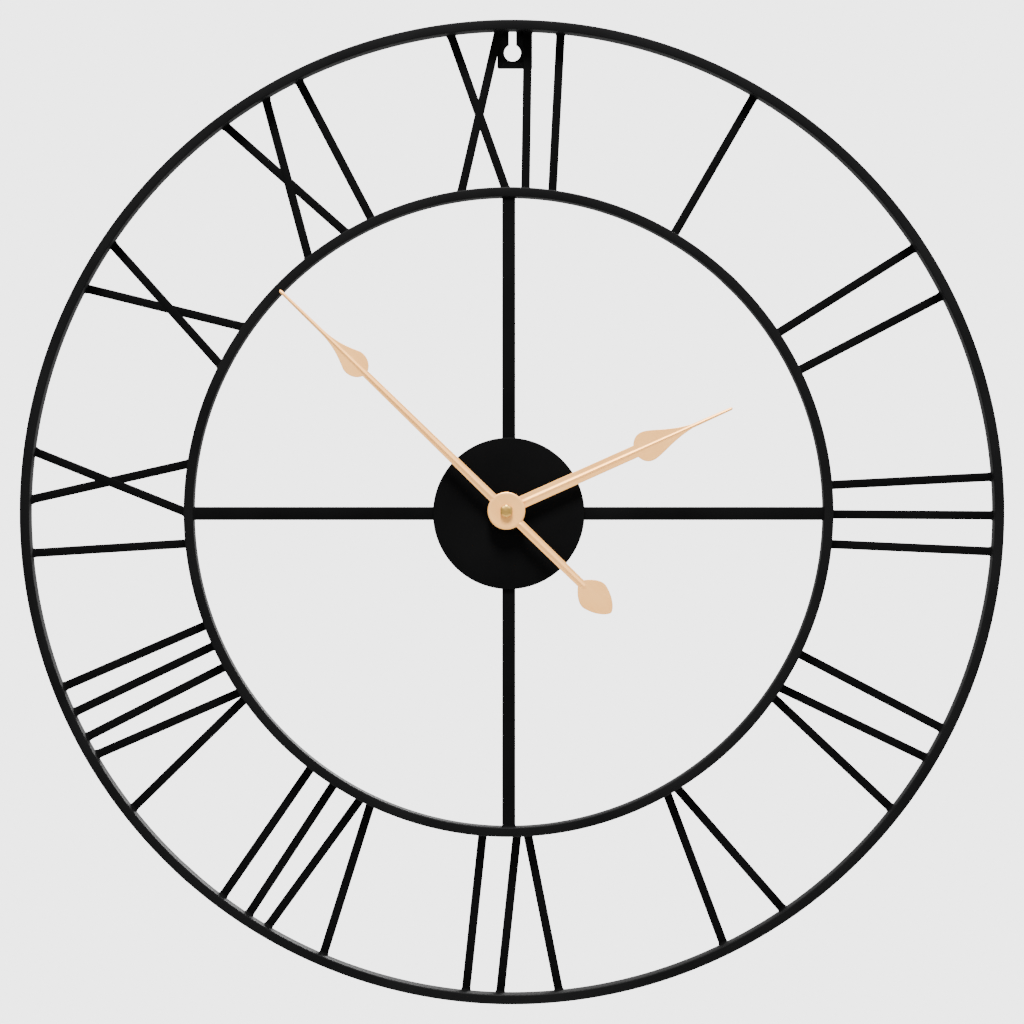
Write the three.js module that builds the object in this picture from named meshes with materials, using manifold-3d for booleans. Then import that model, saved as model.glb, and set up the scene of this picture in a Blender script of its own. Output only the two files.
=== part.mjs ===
// A large open-frame wall clock: two black steel rings joined by welded bars that draw
// the Roman numerals, four spokes that carry a round centre plate, and a battery
// movement behind that plate which turns two gold spade hands.
//
// Everything is drawn in the clock's face frame, in millimetres: x to the right, y up
// and z out of the wall towards the viewer, with the wall at z = 0 and the axle of the
// hands at x = y = 0. The last group turns that frame so that up is +Z and the viewer
// is on the -Y side.

import * as THREE from 'three';
import { mergeVertices } from 'three/addons/utils/BufferGeometryUtils.js';
import Module from 'manifold-3d';

const wasm = await Module();
wasm.setup();

// ---------------------------------------------------------------- driving dimensions

const GAP = 0.3;             // left where a bar is cut to fit against a ring
const SEAT = 0.1;            // left between two flat faces that rest on each other

// The welded frame. The clock was put together by hand, so its centres differ a little.
const OUTER_RADIUS = 300;
const INNER_RADIUS = 198;
const RING_WIDTH = 5.8;      // seen from the front
const RING_DEPTH = 16;
const RING_BACK = 1.5;       // the rings stand off the wall by the hanger's thickness
const OUTER_CENTRE = new THREE.Vector2(3.4, -0.7);
const INNER_CENTRE = new THREE.Vector2(1.3, -0.7);
const SPOKE_CENTRE = new THREE.Vector2(1.4, -1.6);
const RING_FRONT = RING_BACK + RING_DEPTH;

const BAR_WIDTH = 5.3;       // the numerals are 3 mm strip, flush with the rings' back
const BAR_THICKNESS = 3;
const SPOKE_WIDTH = 8;
const SPOKE_THICKNESS = 3;
const SPOKE_INNER_END = 34;  // the spokes end under the plate's rim
const DISC_RADIUS = 46.2;
const DISC_THICKNESS = 1.5;
const DISC_HOLE = 5;
const DISC_BACK = RING_FRONT - DISC_THICKNESS;

// The keyhole hanger, a sheet plate welded over the ring's back at the top.
const HANGER_WIDTH = 21.4;
const HANGER_MIDDLE = 1.7;   // from the outer ring's centre, to the right
const HANGER_LOW = 271.8;    // heights from the outer ring's centre
const HANGER_HIGH = 298;
const KEYHOLE_HEIGHT = 281.5;
const KEYHOLE_RADIUS = 5.15;
const KEYHOLE_SLOT = 4.4;
const KEYHOLE_TOP = 294.5;   // the slot ends behind the ring
const KEYHOLE_OFFSET = 0.3;

// Each numeral is a list of letters, and each letter a list of bars. A bar is given by
// the angles of its foot, on the inner ring, and its head, on the outer ring, in
// degrees clockwise from the hour that the numeral stands at. Nobody set them out with
// a jig, so no two letters are quite alike.
const NUMERALS = {
  1: [['i', [0.8, 0.2]]],
  2: [['i1', [-3.6, -3.3]], ['i2', [4.0, 3.3]]],
  3: [['i1', [-4.8, -4.2]], ['i2', [0.4, 0.4]], ['i3', [5.7, 4.7]]],
  4: [['i', [-4.0, -3.3]], ['v_left', [2.9, 0.7]], ['v_right', [5.0, 8.0]]],
  5: [['v_left', [-1.4, -4.3]], ['v_right', [0.6, 3.9]]],
  6: [['v_left', [-3.4, -5.6]], ['v_right', [-1.5, 1.4]], ['i', [4.6, 5.5]]],
  7: [['v_left', [-4.7, -6.9]], ['v_right', [-2.7, 0.5]], ['i1', [2.7, 3.2]], ['i2', [7.7, 7.0]]],
  8: [
    ['v', [-5.3, -8.0], [-3.9, -0.3]],
    ['i1', [1.4, 2.1]], ['i2', [5.6, 5.4]], ['i3', [9.5, 8.7]],
  ],
  9: [['i', [-5.6, -4.9]], ['x', [0.0, 7.2], [8.6, 1.5]]],
  10: [['x', [4.9, -2.3], [-3.0, 3.8]]],
  11: [['x', [-8.2, -0.8], [-0.2, -6.6]], ['i', [4.9, 3.7]]],
  12: [['x', [-0.5, -7.3], [-8.4, -1.6]], ['i1', [3.0, 1.9]], ['i2', [7.8, 5.8]]],
};

// The movement: a 56 mm square plastic case whose cover lies in the wall's plane.
const CASE_SIDE = 56;
const CASE_WALL = 1.1;
const CASE_FRONT = 15.1;
const CASE_INNER_FRONT = 14;
const COVER_THICKNESS = 1.2;
const CASE_BACK = COVER_THICKNESS + SEAT;
const BUSH_RADIUS = 3.9;
const BUSH_BORE = 2.8;
const BUSH_END = 22;
const RIB_HEIGHT = -12.5;    // the wall between the wheels and the battery
const RIB_THICKNESS = 0.8;

const BATTERY_RADIUS = 6.9;
const BATTERY_X = [-24.9, 23.6];
const BATTERY_Y = -19.9;
const BATTERY_Z = 7;
const TERMINAL_RADIUS = 2.75;
const TERMINAL_END = 25.6;

// The stack on the threaded bush, then the hands on their axles.
const WASHER_BACK = RING_FRONT + SEAT;
const WASHER_THICKNESS = 0.5;
const NUT_BACK = WASHER_BACK + WASHER_THICKNESS + SEAT;
const NUT_THICKNESS = 2.5;
const NUT_ACROSS_CORNERS = 13.8;
const HOUR_PLATE = [22.6, 23.6];
const MINUTE_PLATE = [25, 26];
const HUB_RADIUS = 11.5;
const HUB_RISE = 0.5;        // the hub stands this much higher than the flat of its hand
const RIDGE_SLOPE = 0.3;     // height of the pressed ridge, as a share of its half width
const HOUR_TUBE = [1.8, 2.6];
const HOUR_TUBE_END = 24.3;
const ARBOR_RADIUS = 1.5;
const ARBOR_END = 28;
const FIT = 0.05;            // radial clearance of a hand on its axle

// The hands at rest, in degrees clockwise from twelve.
const MINUTE_ANGLE = 314.2;
const HOUR_ANGLE = 65.9;
const HOUR_STEM_OFFSET = -0.9;

// The wheels. A train wheel and the pinion that it drives share a module.
const MOTION_MODULE = 0.45;
const CENTRE_MODULE = 0.45;
const TRAIN_MODULE = 0.4;
const ROTOR_MODULE = 0.35;
const TEETH = {
  cannon: 10, motionWheel: 30, motionPinion: 8, hour: 32, knob: 10,
  centre: 48, thirdPinion: 6, third: 45, secondsPinion: 6,
  seconds: 36, intermediatePinion: 6, intermediate: 40, rotor: 8,
};
const ADDENDUM = 0.85;
const DEDENDUM = 1.15;
const TOOTH_ROOT = 0.26;     // half of a tooth's width at its root, as a share of the pitch
const TOOTH_TIP = 0.1;
const PIVOT_RADIUS = 0.5;
const PIVOT_HOLE = 0.7;
const SPINDLE_RADIUS = 0.75;
const KNOB_RADIUS = 5;
const KNOB_DEPTH = [0.2, 2.7];
const KNOB_GRIPS = 20;
const KNOB_SHAFT_RADIUS = 1.2;
const KNOB_SHAFT = [2.5, 13.7];
const MAGNET_RADIUS = 3.2;
const MAGNET = [5, 9];

// Where each toothed wheel lies between the cover and the case's front.
const LAYER = {
  centre: [9.7, 10.5], cannon: [10.4, 11.7],
  motionWheel: [10.9, 11.7], motionPinion: [11.6, 13.4],
  hour: [12.2, 13], knob: [10.7, 11.9],
  thirdPinion: [9.4, 10.8], third: [7, 7.8],
  secondsPinion: [6.8, 8.1], seconds: [4.8, 5.6],
  intermediatePinion: [4.6, 5.9], intermediate: [2.8, 3.6],
  rotor: [2.6, 3.9],
};

// The contacts' leaves, the stepping motor's iron frame and its coil, and the board.
const LEAF_HALF_WIDTH = 4;
const LEAF_DEPTH = [3, 11.5];
const LEAF_PLUS = [25.9, 26.4];
const LEAF_MINUS = [-26.4, -25.9];
const STATOR_DEPTH = [6, 6.8];
const STATOR_ARM = 2.4;      // width of an arm
const STATOR_LEG_X = -20.5;
const STATOR_LEG_HALF = 1;
const STATOR_LEG = [0.2, 21.5];
const STATOR_RETURN_X = [-13.4, -11];
const STATOR_EYE = [3.7, 5.4];
const COIL_LENGTH = [2, 20];
const COIL_CORE = 1.4;
const COIL_WOUND = 3.7;
const COIL_CHEEK = 4.2;
const COIL_CHEEK_THICKNESS = 0.8;
const BOARD = { x: [5, 25], y: [-11.5, -3], z: [2, 3] };

const RING_SEGMENTS = 144;
const SMALL_SEGMENTS = 24;

// ---------------------------------------------------------------------------- finishes

function finish(color, roughness, metalness) {
  return () => new THREE.MeshStandardMaterial({ color, roughness, metalness });
}

const blackCoat = finish(0x17171a, 0.5, 0.3);
const gold = finish(0xe2bf9c, 0.35, 0.7);
const brass = finish(0xc8a765, 0.3, 0.9);
const steel = finish(0xa8a9aa, 0.35, 0.9);
const rubber = finish(0x1b1b1b, 0.9, 0);
const casePlastic = finish(0x202124, 0.55, 0);
const whitePlastic = finish(0xe6e4dc, 0.5, 0);
const copper = finish(0xa85a32, 0.4, 0.8);
const boardGreen = finish(0x2d5a36, 0.6, 0);
const cellWrap = finish(0x5e6266, 0.4, 0.3);

// ------------------------------------------------------------------------ shape helpers

// Turns a closed geometry into a solid that can be joined and cut.
function solid(geometry) {
  const bare = geometry.index ? geometry.toNonIndexed() : geometry.clone();
  bare.deleteAttribute('normal');
  bare.deleteAttribute('uv');
  const merged = mergeVertices(bare, 1e-4);
  return new wasm.Manifold(new wasm.Mesh({
    numProp: 3,
    vertProperties: new Float32Array(merged.attributes.position.array),
    triVerts: new Uint32Array(merged.index.array),
  }));
}

// Turns a solid back into a geometry for a mesh.
function surface(body) {
  const mesh = body.getMesh();
  const geometry = new THREE.BufferGeometry();
  geometry.setAttribute('position', new THREE.BufferAttribute(mesh.vertProperties, 3));
  geometry.setIndex(new THREE.BufferAttribute(mesh.triVerts, 1));
  geometry.computeVertexNormals();
  return geometry;
}

function join(bodies) {
  return bodies.reduce((whole, body) => whole.add(body));
}

// A flat outline given a thickness, from one height to another.
function plate(shape, low, high, curveSegments = 8) {
  const geometry = new THREE.ExtrudeGeometry(shape, {
    depth: high - low, bevelEnabled: false, curveSegments,
  });
  return solid(geometry.translate(0, 0, low));
}

// A straight round post along z; six segments make it a hexagon.
function post(x, y, radius, low, high, segments = SMALL_SEGMENTS) {
  const geometry = new THREE.CylinderGeometry(radius, radius, high - low, segments);
  geometry.rotateX(Math.PI / 2);
  return solid(geometry.translate(x, y, (low + high) / 2));
}

function block(x, y, z) {
  const geometry = new THREE.BoxGeometry(x[1] - x[0], y[1] - y[0], z[1] - z[0]);
  geometry.translate((x[0] + x[1]) / 2, (y[0] + y[1]) / 2, (z[0] + z[1]) / 2);
  return solid(geometry);
}

// A profile of [radius, height] points turned round an axis along z.
function turned(profile, segments = SMALL_SEGMENTS) {
  const points = profile.map(([radius, height]) => new THREE.Vector2(radius, height));
  return solid(new THREE.LatheGeometry(points, segments).rotateX(Math.PI / 2));
}

function tube(inner, outer, low, high, segments = SMALL_SEGMENTS) {
  return turned([[inner, low], [outer, low], [outer, high], [inner, high], [inner, low]], segments);
}

// The point at a clockwise angle from twelve, on a circle.
function onCircle(centre, radius, degrees) {
  const angle = THREE.MathUtils.degToRad(degrees);
  return new THREE.Vector2(
    centre.x + radius * Math.sin(angle),
    centre.y + radius * Math.cos(angle),
  );
}

const clock = new THREE.Group();

function addPiece(name, body, makeMaterial, parent = clock) {
  const mesh = new THREE.Mesh(surface(body), makeMaterial());
  mesh.name = name;
  parent.add(mesh);
  return mesh;
}

// ------------------------------------------------------------------------ welded frame

function ring(centre, radius) {
  const hoop = tube(radius - RING_WIDTH, radius, RING_BACK, RING_FRONT, RING_SEGMENTS);
  return hoop.translate([centre.x, centre.y, 0]);
}

// The space between the rings, less the gap, which cuts the numerals' bars to length.
function barSpace() {
  const outer = OUTER_RADIUS - RING_WIDTH - GAP;
  const inner = INNER_RADIUS + GAP;
  const { x, y } = OUTER_CENTRE;
  const whole = post(x, y, outer, 0, RING_FRONT, RING_SEGMENTS);
  return whole.subtract(
    post(INNER_CENTRE.x, INNER_CENTRE.y, inner, -1, RING_FRONT + 1, RING_SEGMENTS),
  );
}

// A strip between two points of the face, run on a little past both of them.
function strip(from, to, width, low, high, runOn) {
  const along = to.clone().sub(from);
  const length = along.length() + 2 * runOn;
  const geometry = new THREE.BoxGeometry(length, width, high - low);
  geometry.rotateZ(along.angle());
  const middle = from.clone().add(to).multiplyScalar(0.5);
  return solid(geometry.translate(middle.x, middle.y, (low + high) / 2));
}

function numeralBar(hour, [foot, head], space) {
  const from = onCircle(INNER_CENTRE, INNER_RADIUS, 30 * hour + foot);
  const to = onCircle(OUTER_CENTRE, OUTER_RADIUS - RING_WIDTH, 30 * hour + head);
  const bar = strip(from, to, BAR_WIDTH, RING_BACK, RING_BACK + BAR_THICKNESS, 4);
  return bar.intersect(space);
}

function addNumerals() {
  const space = barSpace();
  for (const [hour, letters] of Object.entries(NUMERALS)) {
    for (const [letter, ...bars] of letters) {
      const body = join(bars.map((bar) => numeralBar(Number(hour), bar, space)));
      addPiece(`numeral_${hour.padStart(2, '0')}_${letter}`, body, blackCoat);
    }
  }
}

// A spoke runs from under the plate's rim to the inner ring, where it is cut to fit.
function addSpokes() {
  const reach = INNER_RADIUS - RING_WIDTH - GAP;
  const inside = post(INNER_CENTRE.x, INNER_CENTRE.y, reach, 0, RING_FRONT, RING_SEGMENTS);
  const names = ['spoke_top', 'spoke_right', 'spoke_bottom', 'spoke_left'];
  names.forEach((name, quarter) => {
    const start = onCircle(SPOKE_CENTRE, SPOKE_INNER_END, 90 * quarter);
    const end = onCircle(SPOKE_CENTRE, INNER_RADIUS, 90 * quarter);
    const high = DISC_BACK - SEAT;
    const body = strip(start, end, SPOKE_WIDTH, high - SPOKE_THICKNESS, high, 0);
    addPiece(name, body.intersect(inside), blackCoat);
  });
}

function addCentreDisc() {
  const { x, y } = SPOKE_CENTRE;
  const disc = post(x, y, DISC_RADIUS, DISC_BACK, RING_FRONT, 96);
  addPiece('centre_disc', disc.subtract(post(0, 0, DISC_HOLE, 0, RING_FRONT + 1)), blackCoat);
}

// The keyhole hanger: the screw's head goes in at the round hole, and its neck slides
// up the slot as the clock is let down.
function addHanger() {
  const { x, y } = OUTER_CENTRE;
  const middle = x + HANGER_MIDDLE;
  const half = HANGER_WIDTH / 2;
  const high = RING_BACK - SEAT;
  const sheet = block([middle - half, middle + half], [y + HANGER_LOW, y + HANGER_HIGH], [0, high]);
  const holeX = x + KEYHOLE_OFFSET;
  const slot = KEYHOLE_SLOT / 2;
  const cut = join([
    post(holeX, y + KEYHOLE_HEIGHT, KEYHOLE_RADIUS, -1, RING_BACK + 1),
    block([holeX - slot, holeX + slot], [y + KEYHOLE_HEIGHT, y + KEYHOLE_TOP], [-1, RING_BACK + 1]),
    post(holeX, y + KEYHOLE_TOP, slot, -1, RING_BACK + 1),
  ]);
  addPiece('hanger_plate', sheet.subtract(cut), blackCoat);
}

// -------------------------------------------------------------------------------- hands

// One side of a hand's outline is drawn with curves, from its tail to its tip along +y;
// the other side is its mirror image. The stem may stand off the axle by a little.
function handOutline(side, offset) {
  const half = side.getPoints(10);
  const shape = new THREE.Shape();
  half.forEach(({ x, y }, index) => {
    if (index === 0) shape.moveTo(x + offset, y);
    else shape.lineTo(x + offset, y);
  });
  half.reverse().forEach(({ x, y }) => {
    if (x > 0) shape.lineTo(offset - x, y);
  });
  return shape;
}

// The pressed ridge: tapered bars of diamond section laid end to end, half sunk in the
// flat of the hand. Each station is a distance along the hand and a half width.
function ridge(stations, top, offset) {
  const lengths = stations.slice(1).map(([end, endHalf], index) => {
    const [start, startHalf] = stations[index];
    const geometry = new THREE.CylinderGeometry(endHalf, startHalf, end - start, 4);
    geometry.scale(1, 1, RIDGE_SLOPE);
    return solid(geometry.translate(offset, (start + end) / 2, top));
  });
  return join(lengths);
}

function hand(side, ridges, [low, high], bore, offset = 0) {
  const parts = [
    plate(handOutline(side, offset), low, high),
    post(0, 0, HUB_RADIUS, low, high + HUB_RISE, 48),
  ];
  ridges.forEach((stations) => parts.push(ridge(stations, high, offset)));
  return join(parts).subtract(post(0, 0, bore, low - 1, high + 2));
}

function minuteHand() {
  const side = new THREE.Path();
  side.moveTo(0, -88.7);
  side.bezierCurveTo(3.2, -88.2, 8.2, -82, 9.7, -74.6);
  side.bezierCurveTo(10.2, -70.8, 7, -66.4, 2.6, -63);
  side.lineTo(2.8, 0);
  side.lineTo(2.2, 119.6);
  side.bezierCurveTo(6.2, 121.2, 8.8, 126.4, 7.4, 131.2);
  side.bezierCurveTo(5, 136.8, 1.9, 143.5, 1.3, 154);
  side.lineTo(0.95, 191);
  side.lineTo(0.55, 191.8);
  side.lineTo(0, 192);
  const forward = [[9, 2.7], [119, 2.1], [154, 1.2], [190.8, 0.9]];
  const backward = [[-66, 2.4], [-9, 2.7]];
  return hand(side, [forward, backward], MINUTE_PLATE, ARBOR_RADIUS + FIT);
}

function hourHand() {
  const side = new THREE.Path();
  side.moveTo(0, 0);
  side.lineTo(3.9, 0);
  side.lineTo(3.8, 86.6);
  side.bezierCurveTo(7.6, 88.2, 9.8, 91.2, 9.2, 95.8);
  side.bezierCurveTo(7.9, 102.5, 3, 110.5, 1.2, 124);
  side.lineTo(0.9, 150);
  side.lineTo(0.5, 150.8);
  side.lineTo(0, 151);
  const forward = [[9, 2.2], [88, 1.8], [124, 1.1], [149.8, 0.8]];
  return hand(side, [forward], HOUR_PLATE, HOUR_TUBE[1] + FIT, HOUR_STEM_OFFSET);
}

// A hand points to twelve in its own frame and is turned to the time that it shows.
function addHand(name, body, degrees) {
  const mesh = addPiece(name, body, gold);
  mesh.rotation.z = -THREE.MathUtils.degToRad(degrees);
}

// The brass cap nut: a hexagon with a domed, chamfered end and a blind hole.
function capNut() {
  const low = MINUTE_PLATE[1] + HUB_RISE + SEAT;
  const hexagon = post(0, 0, 4.2, low, low + 3, 6);
  const dome = turned([[0, low], [3.9, low], [3.9, low + 1.9], [2.9, low + 2.7], [0, low + 3]]);
  const hole = post(0, 0, ARBOR_RADIUS + FIT, low - 1, ARBOR_END + SEAT);
  return hexagon.intersect(dome).subtract(hole);
}

function addHandStack() {
  const rubberLow = CASE_FRONT + SEAT;
  const rubberHigh = DISC_BACK - SEAT;
  addPiece('rubber_washer', tube(4.2, 13, rubberLow, rubberHigh), rubber);
  addPiece('brass_washer', tube(4.2, 8, WASHER_BACK, WASHER_BACK + WASHER_THICKNESS), brass);
  const nut = post(0, 0, NUT_ACROSS_CORNERS / 2, NUT_BACK, NUT_BACK + NUT_THICKNESS, 6);
  addPiece('fixing_nut', nut.subtract(post(0, 0, 4, 0, BUSH_END)), brass);
  addHand('hour_hand', hourHand(), HOUR_ANGLE);
  addHand('minute_hand', minuteHand(), MINUTE_ANGLE);
  addPiece('cap_nut', capNut(), brass);
}

// -------------------------------------------------------------------------------- gears

// A toothed wheel with straight-sided teeth. phase is the angle of one tooth's middle.
function gear({ x, y }, teeth, module, phase, low, high) {
  const pitch = 2 * Math.PI / teeth;
  const tip = module * (teeth / 2 + ADDENDUM);
  const root = module * (teeth / 2 - DEDENDUM);
  const corners = [[root, -TOOTH_ROOT], [tip, -TOOTH_TIP], [tip, TOOTH_TIP], [root, TOOTH_ROOT]];
  const shape = new THREE.Shape();
  for (let tooth = 0; tooth < teeth; tooth += 1) {
    for (const [radius, share] of corners) {
      const angle = phase + pitch * (tooth + share);
      const px = x + radius * Math.cos(angle);
      const py = y + radius * Math.sin(angle);
      if (tooth === 0 && share === -TOOTH_ROOT) shape.moveTo(px, py);
      else shape.lineTo(px, py);
    }
  }
  return plate(shape, low, high);
}

// The phase that puts a gap of the driven gear where the driver has a tooth.
function meshPhase(driver, driven, driverPhase, driverTeeth, drivenTeeth) {
  const direction = Math.atan2(driven.y - driver.y, driven.x - driver.x);
  const turn = driverPhase - direction;
  return direction + Math.PI + Math.PI / drivenTeeth - turn * driverTeeth / drivenTeeth;
}

// The place of a gear that meshes with another one, in a direction given in degrees.
function meshPlace(from, teethSum, module, degrees) {
  const angle = THREE.MathUtils.degToRad(degrees);
  const distance = teethSum * module / 2;
  return new THREE.Vector2(
    from.x + distance * Math.cos(angle),
    from.y + distance * Math.sin(angle),
  );
}

const AXLE = new THREE.Vector2(0, 0);
const MOTION = meshPlace(AXLE, TEETH.cannon + TEETH.motionWheel, MOTION_MODULE, 200);
const KNOB = meshPlace(MOTION, TEETH.motionWheel + TEETH.knob, MOTION_MODULE, 200);
const THIRD = meshPlace(AXLE, TEETH.centre + TEETH.thirdPinion, CENTRE_MODULE, 35);
const SECONDS = meshPlace(THIRD, TEETH.third + TEETH.secondsPinion, TRAIN_MODULE, 100);
const INTERMEDIATE = meshPlace(
  SECONDS, TEETH.seconds + TEETH.intermediatePinion, TRAIN_MODULE, 170,
);
const ROTOR = meshPlace(INTERMEDIATE, TEETH.intermediate + TEETH.rotor, ROTOR_MODULE, 190);

// An arbor between the cover and the case's front, with a thin pivot at each end.
function arbor({ x, y }) {
  return join([
    post(x, y, SPINDLE_RADIUS, CASE_BACK + SEAT, CASE_INNER_FRONT - SEAT, 16),
    post(x, y, PIVOT_RADIUS, COVER_THICKNESS - 0.5, CASE_INNER_FRONT + 0.4, 12),
  ]);
}

function addMotionWork() {
  const cannonPhase = 0;
  const centrePhase = 0;
  addPiece('minute_arbor', join([
    post(0, 0, PIVOT_RADIUS, COVER_THICKNESS - 0.5, 3, 12),
    post(0, 0, ARBOR_RADIUS, CASE_BACK + SEAT, ARBOR_END),
    gear(AXLE, TEETH.centre, CENTRE_MODULE, centrePhase, ...LAYER.centre),
    gear(AXLE, TEETH.cannon, MOTION_MODULE, cannonPhase, ...LAYER.cannon),
  ]), brass);

  const motionPhase = meshPhase(AXLE, MOTION, cannonPhase, TEETH.cannon, TEETH.motionWheel);
  const wheel = join([
    gear(MOTION, TEETH.motionWheel, MOTION_MODULE, motionPhase, ...LAYER.motionWheel),
    gear(MOTION, TEETH.motionPinion, MOTION_MODULE, 0, ...LAYER.motionPinion),
  ]);
  const stud = post(MOTION.x, MOTION.y, SPINDLE_RADIUS + FIT, 10, 14, 16);
  addPiece('motion_wheel', wheel.subtract(stud), whitePlastic);

  const hourPhase = meshPhase(MOTION, AXLE, 0, TEETH.motionPinion, TEETH.hour);
  const hour = join([
    gear(AXLE, TEETH.hour, MOTION_MODULE, hourPhase, ...LAYER.hour),
    post(0, 0, HOUR_TUBE[1], LAYER.hour[0], HOUR_TUBE_END),
  ]);
  addPiece('hour_wheel', hour.subtract(post(0, 0, HOUR_TUBE[0], 12, 25)), whitePlastic);

  const knobPhase = meshPhase(MOTION, KNOB, motionPhase, TEETH.motionWheel, TEETH.knob);
  addPiece('setting_knob', join([
    gear(KNOB, TEETH.knob, MOTION_MODULE, knobPhase, ...LAYER.knob),
    post(KNOB.x, KNOB.y, KNOB_SHAFT_RADIUS, ...KNOB_SHAFT, 16),
    gear(KNOB, KNOB_GRIPS, KNOB_RADIUS / (KNOB_GRIPS / 2 + ADDENDUM), 0, ...KNOB_DEPTH),
  ]), whitePlastic);
  return centrePhase;
}

// The train from the centre wheel back to the stepping rotor. Each pinion takes the
// phase of the wheel that it meshes with, and its own wheel may stand at any phase.
function addTrain(centrePhase) {
  const thirdPhase = meshPhase(AXLE, THIRD, centrePhase, TEETH.centre, TEETH.thirdPinion);
  addPiece('third_wheel', join([
    arbor(THIRD),
    gear(THIRD, TEETH.thirdPinion, CENTRE_MODULE, thirdPhase, ...LAYER.thirdPinion),
    gear(THIRD, TEETH.third, TRAIN_MODULE, 0, ...LAYER.third),
  ]), whitePlastic);

  const secondsPhase = meshPhase(THIRD, SECONDS, 0, TEETH.third, TEETH.secondsPinion);
  addPiece('seconds_wheel', join([
    arbor(SECONDS),
    gear(SECONDS, TEETH.secondsPinion, TRAIN_MODULE, secondsPhase, ...LAYER.secondsPinion),
    gear(SECONDS, TEETH.seconds, TRAIN_MODULE, 0, ...LAYER.seconds),
  ]), whitePlastic);

  const intermediatePhase = meshPhase(
    SECONDS, INTERMEDIATE, 0, TEETH.seconds, TEETH.intermediatePinion,
  );
  addPiece('intermediate_wheel', join([
    arbor(INTERMEDIATE),
    gear(
      INTERMEDIATE, TEETH.intermediatePinion, TRAIN_MODULE, intermediatePhase,
      ...LAYER.intermediatePinion,
    ),
    gear(INTERMEDIATE, TEETH.intermediate, ROTOR_MODULE, 0, ...LAYER.intermediate),
  ]), whitePlastic);

  const rotorPhase = meshPhase(INTERMEDIATE, ROTOR, 0, TEETH.intermediate, TEETH.rotor);
  addPiece('rotor', join([
    arbor(ROTOR),
    gear(ROTOR, TEETH.rotor, ROTOR_MODULE, rotorPhase, ...LAYER.rotor),
    post(ROTOR.x, ROTOR.y, MAGNET_RADIUS, ...MAGNET),
  ]), steel);
}

// ----------------------------------------------------------------------------- movement

// The case: an open box with the threaded bush on its front, a rib over the battery,
// the stud that the motion wheel turns on and a blind hole for each arbor's pivot.
function addCase() {
  const half = CASE_SIDE / 2;
  const inner = half - CASE_WALL;
  const outside = block([-half, half], [-half, half], [CASE_BACK, CASE_FRONT]);
  const cavity = block([-inner, inner], [-inner, inner], [0, CASE_INNER_FRONT]);
  const rib = [RIB_HEIGHT - RIB_THICKNESS / 2, RIB_HEIGHT + RIB_THICKNESS / 2];
  const box = join([
    outside.subtract(cavity),
    block([-inner - 0.5, inner + 0.5], rib, [CASE_BACK, CASE_INNER_FRONT + 0.5]),
    post(0, 0, BUSH_RADIUS, CASE_FRONT - 0.5, BUSH_END),
    post(MOTION.x, MOTION.y, SPINDLE_RADIUS, 10.8, CASE_INNER_FRONT + 0.5, 16),
  ]);
  const holes = join([
    post(0, 0, BUSH_BORE, CASE_INNER_FRONT - 1, BUSH_END + 1),
    ...[THIRD, SECONDS, INTERMEDIATE, ROTOR].map(({ x, y }) => (
      post(x, y, PIVOT_HOLE, CASE_INNER_FRONT - 0.5, CASE_INNER_FRONT + 0.6, 12)
    )),
  ]);
  addPiece('movement_case', box.subtract(holes), casePlastic);
}

// The cover: open over the battery and round the setting knob, with pivot holes inside
// and four tabs that snap into the case.
function addCover() {
  const half = CASE_SIDE / 2;
  const inner = half - CASE_WALL;
  const sheet = block([-half, half], [-half, half], [0, COVER_THICKNESS]);
  const tabs = [-1, 1].flatMap((side) => [-6, 18].map((height) => {
    const reach = [side * (inner - 1.1), side * (inner - SEAT)].sort((a, b) => a - b);
    return block(reach, [height - 3, height + 3], [COVER_THICKNESS - 0.5, COVER_THICKNESS + 2.5]);
  }));
  const rib = RIB_HEIGHT - RIB_THICKNESS / 2;
  const openings = join([
    block([-inner, inner], [-inner + 0.4, rib], [-1, COVER_THICKNESS + 1]),
    post(KNOB.x, KNOB.y, KNOB_RADIUS + 0.6, -1, COVER_THICKNESS + 1),
    ...[AXLE, THIRD, SECONDS, INTERMEDIATE, ROTOR].map(({ x, y }) => (
      post(x, y, PIVOT_HOLE, 0.5, COVER_THICKNESS + 0.5, 12)
    )),
  ]);
  addPiece('case_cover', join([sheet, ...tabs]).subtract(openings), casePlastic);
}

// The battery and the two contacts, all turned round or set across the cell's axis.
function addPower() {
  const [start, end] = BATTERY_X;
  const toCell = (body) => body.rotate([0, 90, 0]).translate([0, BATTERY_Y, BATTERY_Z]);
  const cell = turned([
    [0, start], [BATTERY_RADIUS - 0.4, start], [BATTERY_RADIUS, start + 0.4],
    [BATTERY_RADIUS, end - 0.4], [BATTERY_RADIUS - 0.4, end],
    [TERMINAL_RADIUS, end], [TERMINAL_RADIUS, TERMINAL_END], [0, TERMINAL_END],
  ]);
  addPiece('battery', toCell(cell), cellWrap);

  const across = [BATTERY_Y - LEAF_HALF_WIDTH, BATTERY_Y + LEAF_HALF_WIDTH];
  addPiece('contact_plus', block(LEAF_PLUS, across, LEAF_DEPTH), steel);
  const spring = turned([[0, -26.1], [3.6, -26.1], [3.6, -25.7], [2, -25.1], [0, -25.1]], 20);
  const leaf = block(LEAF_MINUS, across, LEAF_DEPTH);
  addPiece('contact_minus', leaf.add(toCell(spring)), steel);
}

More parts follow.
